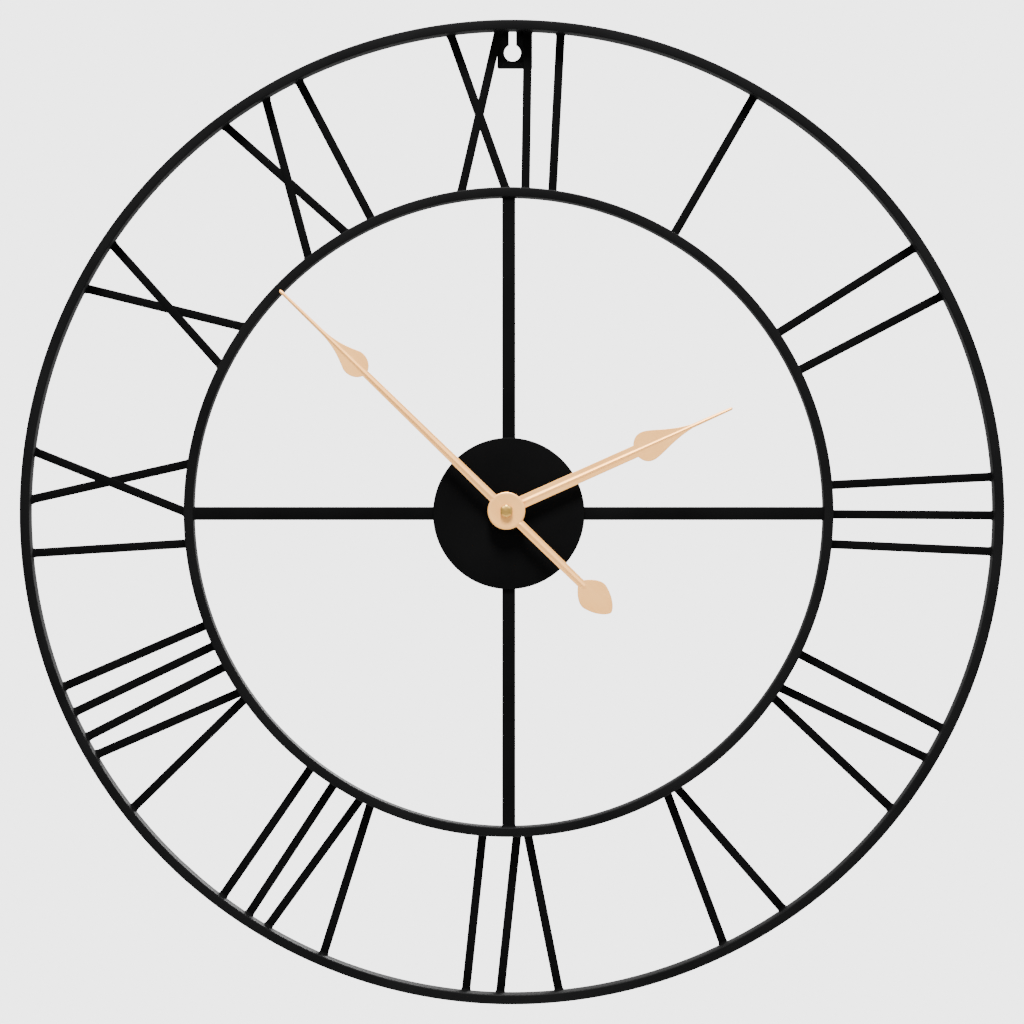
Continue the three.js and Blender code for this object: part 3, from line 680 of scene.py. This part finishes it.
minute_side = np.concatenate([
    [[0.02, -88.7]],
    cubic((0, -88.7), (3.2, -88.2), (8.2, -82), (9.7, -74.6), 20),
    cubic((9.7, -74.6), (10.2, -70.8), (7, -66.4), (2.6, -63), 16),
    straight((2.6, -63), (2.76, -12), 20),
    straight((2.76, -12), (2.78, 12), 24),
    straight((2.78, 12), (2.2, 119.6), 40),
    cubic((2.2, 119.6), (6.2, 121.2), (8.8, 126.4), (7.4, 131.2), 16),
    cubic((7.4, 131.2), (5, 136.8), (1.9, 143.5), (1.3, 154), 18),
    straight((1.3, 154), (0.95, 191), 14),
    [[0.55, 191.8], [0.02, 192.0]],
])
hour_side = np.concatenate([
    [[0.02, 0.0], [3.9, 0.01]],
    straight((3.9, 0.01), (3.89, 12), 12),
    straight((3.89, 12), (3.8, 86.6), 28),
    cubic((3.8, 86.6), (7.6, 88.2), (9.8, 91.2), (9.2, 95.8), 16),
    cubic((9.2, 95.8), (7.9, 102.5), (3, 110.5), (1.2, 124), 22),
    straight((1.2, 124), (0.9, 150), 10),
    [[0.5, 150.8], [0.02, 151.0]],
])
print("outlines of", len(minute_side), "and", len(hour_side), "stations")

# %% [markdown]
# Across the hand, a fixed set of shares of the half width gives the columns. The ridge's height
# at a point is its slope times the distance still to go to the ridge's foot, softened at the
# crest and the foot by a hyperbola, because sheet can't fold to a knife edge.

# %% Press the sheet
RIDGE_SLOPE = 0.55
PRESS_RADIUS = 0.06      # softness of the folds
ACROSS = np.array([0, 0.015, 0.03, 0.06, 0.1, 0.15, 0.21, 0.28, 0.36, 0.44, 0.52, 0.6, 0.68,
                   0.76, 0.84, 0.9, 0.94, 0.97, 0.985, 1.0])


def ridge_height(across, half):
    """Slope times a soft positive part of (ridge half width - distance from its crest)."""
    crest = np.sqrt(across ** 2 + PRESS_RADIUS ** 2) - PRESS_RADIUS
    room = half[:, None] - crest
    soft = (room + np.sqrt(room ** 2 + PRESS_RADIUS ** 2)) / 2
    return RIDGE_SLOPE * np.minimum(soft, np.maximum(half[:, None] - 0.02, 0)) * (half[:, None] > 0)


def hand_grid(side, stations, low, high, offset, degrees, rim=0.22):
    """Front and back of the pressed sheet, row by row, closed round each section."""
    half, along = side[:, 0], side[:, 1]
    places, ridge_half = np.asarray(stations, float).T
    ridge = np.interp(along, places, ridge_half, left=0, right=0)
    shares = np.concatenate([-ACROSS[::-1], ACROSS[1:]])
    across = shares[None, :] * half[:, None]
    inward = 1 - np.abs(shares)[None, :]
    edge = np.minimum(rim, half[:, None] * 0.8)
    from_rim = np.clip(inward * half[:, None] / edge, 0, 1)
    soften = edge * (1 - np.sqrt(1 - (1 - from_rim) ** 2))
    rise = ridge_height(across, ridge)
    front = high - soften + rise
    back = np.maximum(low + rise * 0.5, low)
    front = np.maximum(front, back + 0.02)
    section = np.concatenate([np.stack([across, front], -1),
                              np.stack([across, back], -1)[:, ::-1]], axis=1)
    angle = math.radians(degrees)
    px, py = section[..., 0] + offset, np.broadcast_to(along[:, None], section.shape[:2])
    return np.stack([px * math.cos(angle) + py * math.sin(angle),
                     -px * math.sin(angle) + py * math.cos(angle), section[..., 1]], axis=-1)


def hub_profile(low, high, bore):
    """A disc with a bevelled rim, a shallow dished face and a hole for its axle."""
    return np.array([
        [bore, low], [10.9, low], [11.35, low + 0.15], [11.45, low + 0.5], [11.3, high - 0.35],
        [10.9, high - 0.1], [10.2, high], [9.6, high - 0.04], [8.8, high - 0.12],
        [5.0, high - 0.14], [bore + 0.4, high - 0.1], [bore, high - 0.2], [bore, low],
    ])


minute_plate = (25.0, 26.0)
hour_plate = (22.6, 23.6)
HUB_RISE = 0.5
MINUTE_FORWARD = [(10.2, 0.0), (11.2, 1.5), (112, 1.35), (124, 1.2), (154, 1.0), (190.8, 0.75),
                  (191.9, 0.0)]
MINUTE_BACKWARD = [(-66.6, 0.0), (-66, 1.3), (-11.2, 1.5), (-10.2, 0.0)]
HOUR_FORWARD = [(10.2, 0.0), (11.2, 1.3), (84, 1.05), (96, 0.85), (124, 0.75), (149.8, 0.6),
                (150.7, 0.0)]

add_piece("minute_hand", [
    hand_grid(minute_side, MINUTE_BACKWARD + MINUTE_FORWARD, *minute_plate, 0.0, MINUTE_ANGLE),
    turned_ring(hub_profile(minute_plate[0], minute_plate[1] + HUB_RISE, 1.55)),
], minute_gold, body="minute", replaces=["minute_hand"], sharp=20)
add_piece("hour_hand", [
    hand_grid(hour_side, HOUR_FORWARD, *hour_plate, -0.9, HOUR_ANGLE),
    turned_ring(hub_profile(hour_plate[0], hour_plate[1] + HUB_RISE, 2.65)),
], hour_gold, body="hour", replaces=["hour_hand"], sharp=20)

# %% [markdown]
# ## Brass
# The nuts and the washer are turned brass. Turning leaves rings, so the grain runs round the
# axle: a wave over the distance from it. Brass dulls unevenly where fingers touched it.

# %% Make the metals
def metal(name, dark, light, rough, rings_per_metre=9000.0, grain=0.3):
    made = Finish(name, Metallic=1.0)
    across = made.node("ShaderNodeVectorMath", {0: made.place(), 1: (1.0, 0.0, 1.0)},
                       operation="MULTIPLY")
    radius = made.node("ShaderNodeVectorMath", {0: across}, output="Value", operation="LENGTH")
    rings = (radius * rings_per_metre).math("SINE")
    cloud = made.noise(per_metre=160.0, detail=4.0)
    scratch = made.noise(per_metre=1.0, detail=3.0, at=made.stretched(900.0, 5000.0, 900.0))
    made.colour(made.ramp(cloud * 0.7 + scratch * 0.3, (0.3, (*dark, 1.0)), (0.7, (*light, 1.0))))
    made.rough(cloud * 0.14 + scratch * 0.08 + rough)
    made.bump(rings * 0.3 + scratch, depth_mm=0.01, strength=grain)
    return made.made


brass = metal("turned_brass", (0.50, 0.345, 0.14), (0.66, 0.48, 0.22), rough=0.20)
nut_brass = metal("plated_nut", (0.44, 0.26, 0.06), (0.60, 0.37, 0.10), rough=0.34)
steel = metal("plated_steel", (0.42, 0.42, 0.42), (0.60, 0.60, 0.59), rough=0.25)
print("metals:", brass.name, nut_brass.name, steel.name)

# %% [markdown]
# ## Nuts and washers
# The fixing nut clamps the movement to the plate, and the small cap nut holds the minute hand.
# A nut's outline is a hexagon as a function of the angle, and its height eats into the corners
# as a cone does, which draws the curved chamfer that every real nut has on its flats.

# %% Turn the nuts
def hexagon_radius(angle, across_flats):
    """Distance from the middle to a hexagon's side along each angle."""
    within = (angle + math.pi / 6) % (math.pi / 3) - math.pi / 6
    return across_flats / 2 / np.cos(within)


def nut_grid(across_flats, bore, low, high, cone, steps=144):
    """A hexagon whose corners are cut by a cone at the top and the bottom."""
    turn = around(steps)
    side = hexagon_radius(turn, across_flats)
    flat = across_flats / 2
    corner = (side - flat) * cone
    rows = [(bore + 0 * turn, low + 0.35 + 0 * turn), (bore + 0.35 + 0 * turn, low + 0 * turn),
            (flat * 0.97 + 0 * turn, low + 0 * turn), (side, low + 0.08 + corner),
            (side, high - 0.08 - corner), (flat * 0.97 + 0 * turn, high + 0 * turn),
            (bore + 0.35 + 0 * turn, high + 0 * turn), (bore + 0 * turn, high - 0.35 + 0 * turn)]
    return np.stack([np.stack([r * np.cos(turn), r * np.sin(turn), z], -1) for r, z in rows])


nut_low, nut_high = extent("fixing_nut")
add_piece("fixing_nut", [nut_grid(6.9 * math.sqrt(3), 3.98, nut_low[2], nut_high[2], 0.55)],
          brass, replaces=["fixing_nut"], rows_close=True, sharp=30)

cap_low, cap_high = extent("cap_nut")


def cap_nut_grid(steps=144):
    """A hexagon below, a turned dome above: each row keeps the smaller of the two radii."""
    turn = around(steps)
    side = np.minimum(hexagon_radius(turn, 7.27), 3.88)
    low, high = cap_low[2], cap_high[2]
    heights = np.array([low + 0.02, low + 0.18, low + 1.6, low + 1.85])
    rows = [np.stack([0 * turn + 1.6, turn, 0 * turn + low + 2.0]),
            np.stack([0 * turn + 1.6, turn, 0 * turn + low + 0.02]),
            np.stack([side * 0.97, turn, 0 * turn + heights[0]])]
    rows += [np.stack([side, turn, 0 * turn + h]) for h in heights[1:3]]
    for share, height in ((0.985, 1.95), (0.93, 2.25), (0.82, 2.52), (0.66, 2.74),
                          (0.45, 2.88), (0.2, 2.96)):
        rows.append(np.stack([side * share, turn, 0 * turn + low + height]))
    rows.append(np.stack([side * 0, turn, 0 * turn + high - 0.02]))
    radius, angle, height = np.stack(rows, axis=1)
    inner = np.stack([0 * turn, turn, 0 * turn + low + 2.0])[:, None, :]
    radius, angle, height = np.concatenate([inner, np.stack([radius, angle, height])], axis=1)
    return np.stack([radius * np.cos(angle), radius * np.sin(angle), height], axis=-1)


add_piece("cap_nut", [cap_nut_grid()], nut_brass, body="minute",
          replaces=["cap_nut"], sharp=32)


def washer_profile(inner, outer, low, high, edge):
    """A flat ring with both rims rounded."""
    return np.concatenate([
        [[inner + edge, low]], rounded_edge(outer - edge, low + edge, edge, -90, 0, 4),
        rounded_edge(outer - edge, high - edge, edge, 0, 90, 4),
        rounded_edge(inner + edge, high - edge, edge, 90, 180, 4),
        rounded_edge(inner + edge, low + edge, edge, 180, 270, 4)])


washer_low, washer_high = extent("brass_washer")
add_piece("brass_washer", [turned_ring(
    washer_profile(4.2, 7.98, washer_low[2], washer_high[2], 0.12), steps=128)],
    brass, replaces=["brass_washer"])

# %% [markdown]
# ## Rubber and plastics
# The washer behind the plate is rubber, dull and a little dusty. The case is spark-eroded black
# ABS, whose texture is a fine even grain. The wheels are white acetal, waxy and faintly mottled.
# All of them are one recipe with other numbers: a clouded colour, a clouded roughness and a grain.

# %% Make the moulded materials
def moulded(name, dark, light, rough, grain_per_metre, depth_mm, gloss=0.35):
    made = Finish(name, Specular_IOR_Level=gloss)
    cloud = made.noise(per_metre=130.0, detail=4.0)
    grain = made.noise(per_metre=grain_per_metre, detail=2.0)
    made.colour(made.ramp(cloud * 0.75 + grain * 0.25, (0.3, (*dark, 1.0)), (0.7, (*light, 1.0))))
    made.rough(cloud * 0.14 + grain * 0.06 + rough)
    made.bump(grain + cloud * 0.3, depth_mm, strength=0.6)
    return made.made


rubber = moulded("rubber", (0.010, 0.010, 0.010), (0.022, 0.021, 0.020), 0.72, 2200, 0.04, 0.2)
case_plastic = moulded("case_plastic", (0.012, 0.012, 0.013), (0.020, 0.020, 0.021),
                       0.45, 3500, 0.03)
acetal = moulded("acetal", (0.70, 0.69, 0.65), (0.80, 0.79, 0.75), 0.38, 900, 0.01)
cover_plastic = moulded("cover_plastic", (0.013, 0.013, 0.014), (0.022, 0.022, 0.023),
                        0.42, 3500, 0.03)
board_lacquer = moulded("board_lacquer", (0.016, 0.075, 0.030), (0.026, 0.105, 0.045),
                        0.30, 1800, 0.02, 0.5)
print("moulded:", rubber.name, case_plastic.name, acetal.name, board_lacquer.name)

# %% [markdown]
# The coil is wound from hair-thin enamelled copper. Its turns lie side by side round a vertical
# spool, so a wave along the height, a tenth of a millimetre long, lifts it as a bump and also
# paints each turn lighter on its crown and darker in the groove beside it: a painted highlight and
# painted shade.

# %% Make the winding
winding = Finish("copper_winding", Metallic=0.85)
height = winding.node("ShaderNodeSeparateXYZ", {"Vector": winding.place()}, output="Z")
turn_relief_and_shade = (height * (2 * math.pi / 0.00024)).math("SINE")
patch = winding.noise(per_metre=300.0, detail=3.0)
# The colour follows the turns' wave: painted highlight on each crown, painted shade in each groove.
winding.colour(winding.ramp(turn_relief_and_shade * 0.25 + patch * 0.5 + 0.25, (0.2, (0.30, 0.09, 0.035, 1.0)),
                            (0.8, (0.56, 0.22, 0.10, 1.0))))
winding.rough(patch * 0.15 + 0.28)
winding.bump(turn_relief_and_shade, depth_mm=0.03, strength=0.6)
print("winding:", winding.made.name)

# %% Set the rubber washer
rubber_low, rubber_high = extent("rubber_washer")
add_piece("rubber_washer", [turned_ring(
    washer_profile(4.25, 12.95, rubber_low[2], rubber_high[2], 0.2), steps=128)],
    rubber, replaces=["rubber_washer"])

# %% [markdown]
# ## The movement
# From the front the movement hides behind the plate, but the back of a clock is mostly movement.
# Its case has soft moulded edges and a recess for the battery, and the cover is a separate
# moulding. Both already have the right openings, so they are copied from the design, and a
# bevel takes the hardness off every edge. The copy is merged first, or the bevel would find
# nothing to work on. Two things are cut into the cover before that: the shallow panel where a
# maker moulds the polarity marks, here left plain, and the dish round the knob for a fingertip.
# They're cut with Booleans, because only a real step in the surface holds a shadow. A Boolean
# leaves long thin faces, over which smooth shading would smear, so the cover is shaded flat.

# %% Soften the mouldings
SOFT_SHARP = 35         # degrees; edges that turn further than this get the bevel


def cut_away(piece, grid):
    """Subtract a closed grid from a piece; the result becomes the piece's own mesh."""
    tool = placed("tool", closed_mesh("tool", [grid]))
    cut = piece.modifiers.new("cut", "BOOLEAN")
    cut.operation, cut.solver, cut.object = "DIFFERENCE", "EXACT", tool
    evaluated = piece.evaluated_get(bpy.context.evaluated_depsgraph_get())
    result = bpy.data.meshes.new_from_object(evaluated)
    piece.modifiers.clear()
    solid = piece.data
    result.name = solid.name
    piece.data = result
    bpy.data.meshes.remove(solid)
    bpy.data.meshes.remove(tool.data)


def softened(node, material, bevel_mm, cuts=()):
    """A merged copy of a design solid, cut as asked, with its edges bevelled."""
    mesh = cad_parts[node].data.copy()
    mesh.name = node + "_soft"
    work = bmesh.new()
    work.from_mesh(mesh)
    bmesh.ops.remove_doubles(work, verts=work.verts, dist=2e-6)
    bmesh.ops.dissolve_limit(work, angle_limit=math.radians(1), verts=work.verts, edges=work.edges)
    bmesh.ops.recalc_face_normals(work, faces=work.faces)
    work.to_mesh(mesh)
    work.free()
    mesh.materials.clear()
    mesh.materials.append(material)
    piece = placed(mesh.name, mesh)
    for grid in cuts:
        cut_away(piece, grid)
    if cuts:
        piece.data.shade_flat()
    else:
        shaded(piece.data, SOFT_SHARP)
    bevel = piece.modifiers.new("soft edges", "BEVEL")
    bevel.width = bevel_mm * MM
    bevel.segments = 2
    bevel.limit_method = "ANGLE"
    bevel.angle_limit = math.radians(SOFT_SHARP)
    bevel.harden_normals = not cuts
    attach(piece, "frame")
    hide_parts(node)
    print(f"{piece.name}: {len(piece.data.polygons)} faces before its bevel")
    return piece


PANEL_MIDDLE = (0.0, 13.5)
PANEL_SIZE = (44.0, 18.0)
PANEL_DEPTH = 0.4
OUTSIDE = -0.5          # a cutter starts this far outside the face it cuts
knob_low, knob_high = extent("setting_knob")
knob_x, knob_y = ((knob_low + knob_high) / 2)[:2]


def panel_cutter():
    """A rounded rectangle carried straight into the cover."""
    outline = bar_section(*PANEL_SIZE, 2.5)[0] + PANEL_MIDDLE
    return capped(np.stack([np.column_stack([outline, np.full(len(outline), depth)])
                            for depth in (OUTSIDE, PANEL_DEPTH)]))


dish_cutter = capped(lathe([(6.4, OUTSIDE), (5.1, 0.8)], (knob_x, knob_y), 72))

softened("movement_case", case_plastic, 0.25)
softened("case_cover", cover_plastic, 0.12, cuts=[panel_cutter(), dish_cutter])
softened("circuit_board", board_lacquer, 0.08)
softened("stator", steel, 0.06)
softened("coil", winding.made, 0.08)

# %% [markdown]
# The bush is the case's threaded neck that passes through the plate. It has a brass sleeve with
# the thread, which shows only between the fixing nut and the hands. A thread's radius depends
# on the height and the angle together: a triangle wave of height over pitch plus the share of a
# turn.

# %% Cut the thread
def thread_grid(radius, depth, pitch, low, high, steps=72):
    """radius - depth * triangle(height / pitch - angle / turn), faded out at both ends."""
    height = np.linspace(low, high, int((high - low) / pitch * 10))[:, None]
    turn = around(steps)[None, :]
    phase = (height / pitch - turn / (2 * math.pi)) % 1.0
    wave = np.abs(2 * phase - 1)
    fade = np.clip(np.minimum(height - low, high - height) / 0.3, 0, 1)
    r = radius - depth * np.clip(wave * 1.25, 0, 1) * fade
    return np.stack([r * np.cos(turn), r * np.sin(turn), height + 0 * turn], axis=-1)


bush = thread_grid(3.88, 0.28, 0.75, 15.2, 21.9)
bore = lathe([(2.85, 21.9), (2.85, 15.2)], steps=72)
add_piece("bush_thread", [np.concatenate([bush, bore])], brass, rows_close=True, sharp=60)

# %% [markdown]
# ## The battery and its contacts
# An AA cell is a steel can in a shrunk sleeve: bare metal shows at both ends and in the small
# plus terminal, and the sleeve's edges curl over the can's. The sleeve here is plain, with two
# broad bands. On the minus side a conical spring pushes the cell against the plus leaf.

# %% Wrap the cell
wrap = Finish("cell_sleeve", Metallic=0.2, Coat_Weight=0.4, Coat_Roughness=0.2)
along = wrap.node("ShaderNodeSeparateXYZ", {"Vector": wrap.place()}, output="X")
band = (along * 1000.0 - 12.0).math("GREATER_THAN", 0.0)
scuff = wrap.noise(per_metre=400.0, detail=4.0)
wrap.colour(wrap.ramp(
    band * 0.8 + scuff * 0.2, (0.0, (0.028, 0.034, 0.042, 1.0)), (0.2, (0.05, 0.058, 0.068, 1.0)),
    (0.81, (0.48, 0.24, 0.09, 1.0)), (1.0, (0.60, 0.32, 0.13, 1.0))))
wrap.rough(scuff * 0.15 + 0.25)
wrap.bump(scuff, depth_mm=0.02, strength=0.3)

CELL_Y, CELL_Z = -19.9, 7.0
CELL_START, CELL_END = -24.9, 23.6
CELL_RADIUS = 6.85


def along_cell(profile, steps=72):
    """A profile of (radius, distance) points turned round the cell's axis."""
    profile = np.asarray(profile, float)
    turn = around(steps)
    r, x = profile[:, :1], profile[:, 1:]
    return np.stack([x + 0 * turn, CELL_Y + r * np.cos(turn), CELL_Z + r * np.sin(turn)], axis=-1)


add_piece("cell_sleeve", [along_cell([
    (6.0, CELL_START + 0.25), (6.0, CELL_START), (6.5, CELL_START), (6.75, CELL_START + 0.15),
    (CELL_RADIUS, CELL_START + 0.6), (CELL_RADIUS, -8.0), (CELL_RADIUS, 11.9), (CELL_RADIUS, 12.1),
    (CELL_RADIUS, CELL_END - 0.6), (6.75, CELL_END - 0.15), (6.5, CELL_END), (6.0, CELL_END),
    (6.0, CELL_END - 0.25)])], wrap.made, replaces=["battery"], rows_close=True)
add_piece("cell_can", [along_cell([
    (0.0, CELL_START + 0.12), (5.4, CELL_START + 0.12), (5.8, CELL_START + 0.22),
    (6.2, CELL_START + 0.3),
    (6.2, CELL_END - 0.3), (5.8, CELL_END - 0.22), (3.6, CELL_END - 0.15), (2.72, CELL_END),
    (2.72, 25.2), (2.6, 25.45), (2.3, 25.57), (0.0, 25.57)])], steel)

# %% Coil the spring and fold the leaves
WIRE_SIDES = 10
SPRING_TURNS = 3.2
LEAF_STEPS = 25


def spring_grid(steps=220, wire=0.32):
    """A wire along a conical helix: radius and distance both change with the angle."""
    t = np.linspace(0, 1, steps)
    turn = t * SPRING_TURNS * 2 * math.pi
    radius = 3.4 - 1.5 * t
    places = np.stack([-25.85 + 0.75 * t, CELL_Y + radius * np.cos(turn),
                       CELL_Z + radius * np.sin(turn)], axis=-1)
    ahead = np.gradient(places, axis=0)
    ahead /= np.linalg.norm(ahead, axis=1, keepdims=True)
    side = np.cross(ahead, [1.0, 0.0, 0.0])
    side /= np.linalg.norm(side, axis=1, keepdims=True)
    up = np.cross(side, ahead)
    ring_angle = around(WIRE_SIDES)
    section = np.stack([np.cos(ring_angle), np.sin(ring_angle)], axis=-1) * wire
    return capped(carried(section, places, side, up))


def leaf_grid(x_low, x_high, towards):
    """A spring leaf: a rounded strip that bows towards the cell in its middle."""
    t = np.linspace(-1, 1, LEAF_STEPS)
    places = np.stack([(x_low + x_high) / 2 + 0.08 * towards * (1 - t ** 2), CELL_Y + 0 * t,
                       7.25 + 4.2 * t], axis=-1)
    section, _ = bar_section(x_high - x_low - 0.18, 7.9, 0.12)
    along_x = np.tile([1.0, 0.0, 0.0], (LEAF_STEPS, 1))
    along_y = np.tile([0.0, 1.0, 0.0], (LEAF_STEPS, 1))
    return capped(carried(section, places, along_x, along_y))


plus_low, plus_high = extent("contact_plus")
add_piece("contact_plus", [leaf_grid(plus_low[0], plus_high[0], -1)], steel,
          replaces=["contact_plus"])
add_piece("contact_minus", [leaf_grid(-26.4, -25.9, 1), spring_grid()], steel,
          replaces=["contact_minus"])

# %% [markdown]
# ## The setting knob
# The knob at the back sets the hands. It is a small white wheel with a milled rim that a thumb
# can turn: its radius is a rounded wave of the angle, and its rim is softened top and bottom.
# Its shaft and gear sit inside, where the design's own shape serves, so only the knob's head is
# made again, as a sleeve over the design's plain one.

# %% Mill the knob
KNOB_GROOVE = 0.22


def knob_grid(radius=4.98, low=0.2, high=2.7, ridges=30, steps=360):
    """radius - groove * (1 - |cos| ** 0.7 of the angle), with a share for each row of the rim."""
    turn = around(steps)
    wave = KNOB_GROOVE * np.abs(np.cos(turn * ridges / 2)) ** 0.7
    rows = []
    for share, height, grip in ((0.0, low + 0.25, 0), (0.55, low + 0.25, 0), (0.6, low + 0.02, 0),
                                (0.92, low, 0), (0.985, low + 0.15, 0.6), (1.0, low + 0.4, 1),
                                (1.0, high - 0.4, 1), (0.985, high - 0.15, 0.6), (0.92, high, 0),
                                (0.0, high, 0)):
        r = radius * share - (KNOB_GROOVE - wave) * grip
        rows.append(np.stack([knob_x + r * np.cos(turn), knob_y + r * np.sin(turn),
                              0 * turn + height], axis=-1))
    return np.stack(rows)


add_piece("knob_head", [knob_grid()], acetal, body="knob")

# %% [markdown]
# ## What stays inside
# The wheels, their arbors and the rotor are closed up in the case. Their designed shapes, with
# every tooth in place, are already what they should be, so they only get their material: acetal,
# brass or steel.

# %% Finish the inner parts
inner_finish = {
    "minute_arbor": brass, "motion_wheel": acetal, "hour_wheel": acetal, "setting_knob": acetal,
    "third_wheel": acetal, "seconds_wheel": acetal, "intermediate_wheel": acetal, "rotor": steel,
}
for node, material in inner_finish.items():
    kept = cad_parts[node].data
    kept.materials.clear()
    kept.materials.append(material)
print("kept from the design:", ", ".join(inner_finish))

# %% [markdown]
# ## Light, floor and camera
# A product like this is shown against white with no shadow at all. A white world does that, but
# one bright enough to look white would also wash the black coat grey. So the world is split: the
# camera sees a bright backdrop, and everything else is lit by a dimmer white room. One large soft
# light high in front adds the gleam along the ridges, as a window would, a weak one from the
# right keeps the dark side of each ridge from going flat, and one behind lights the movement. The
# floor is a pale disc below the clock, out of the picture's way, because the clock hangs on a wall.

# %% Light the set
BACKDROP = 3.8          # what the camera sees
ROOM = 0.65             # what lights the clock
FLOOR_DROP, FLOOR_RADIUS, FLOOR_STEPS = 640.0, 800.0, 64

world = bpy.data.worlds.new("white room")
bpy.context.scene.world = world
world.use_nodes = True
nodes, links = world.node_tree.nodes, world.node_tree.links
backdrop = nodes["Background"]
backdrop.inputs["Strength"].default_value = BACKDROP
room = nodes.new("ShaderNodeBackground")
room.inputs["Strength"].default_value = ROOM
seen = nodes.new("ShaderNodeLightPath")
either = nodes.new("ShaderNodeMixShader")
links.new(seen.outputs["Is Camera Ray"], either.inputs["Fac"])
links.new(room.outputs[0], either.inputs[1])
links.new(backdrop.outputs[0], either.inputs[2])
links.new(either.outputs[0], nodes["World Output"].inputs["Surface"])
for light in (backdrop, room):
    light.inputs["Color"].default_value = grey(1.0)


def soft_light(name, place, size, power):
    """A square light that faces the middle of the clock."""
    lamp = bpy.data.lights.new(name, "AREA")
    lamp.size = size
    lamp.energy = power
    made = bpy.data.objects.new(name, lamp)
    made.location = place
    aim = -np.asarray(place, float)
    made.rotation_euler = Vector(aim).to_track_quat("-Z", "Y").to_euler()
    bpy.context.scene.collection.objects.link(made)
    return made


soft_light("high window", (-0.1, -1.4, 2.5), size=0.8, power=330.0)
soft_light("side fill", (2.0, -1.2, 0.4), size=1.0, power=10.0)
soft_light("back window", (0.9, 2.2, 1.2), size=1.0, power=90.0)

floor_coat = Finish("pale_floor", Roughness=0.9)
floor_cloud = floor_coat.noise(per_metre=6.0, detail=4.0)
floor_coat.colour(floor_coat.ramp(floor_cloud, (0.3, grey(0.78)), (0.7, grey(0.84))))
floor_turn = around(FLOOR_STEPS)
floor_rows = [np.stack([r * np.cos(floor_turn), 0 * floor_turn - FLOOR_DROP,
                        r * np.sin(floor_turn)], -1)
              for r in (0.0, FLOOR_RADIUS / 2, FLOOR_RADIUS)]
floor_mesh = bpy.data.meshes.new("floor")
floor_points = in_scene(np.stack(floor_rows)).reshape(-1, 3)
floor_mesh.from_pydata(floor_points.tolist(), [], grid_faces(3, FLOOR_STEPS, False).tolist())
floor_mesh.materials.append(floor_coat.made)
floor = bpy.data.objects.new("floor", floor_mesh)
bpy.context.scene.collection.objects.link(floor)

# %% Place the camera
lens = bpy.data.cameras.new("camera")
lens.sensor_width = 36.0
lens.lens = 135.66
lens.clip_start = 0.05
lens.clip_end = 50.0
camera = bpy.data.objects.new("camera", lens)
camera.location = (0.0034, -2.3675, -0.0007)
camera.rotation_euler = (math.pi / 2, 0.0, 0.0)
bpy.context.scene.collection.objects.link(camera)
bpy.context.scene.camera = camera
print("camera at", tuple(round(v, 4) for v in camera.location))
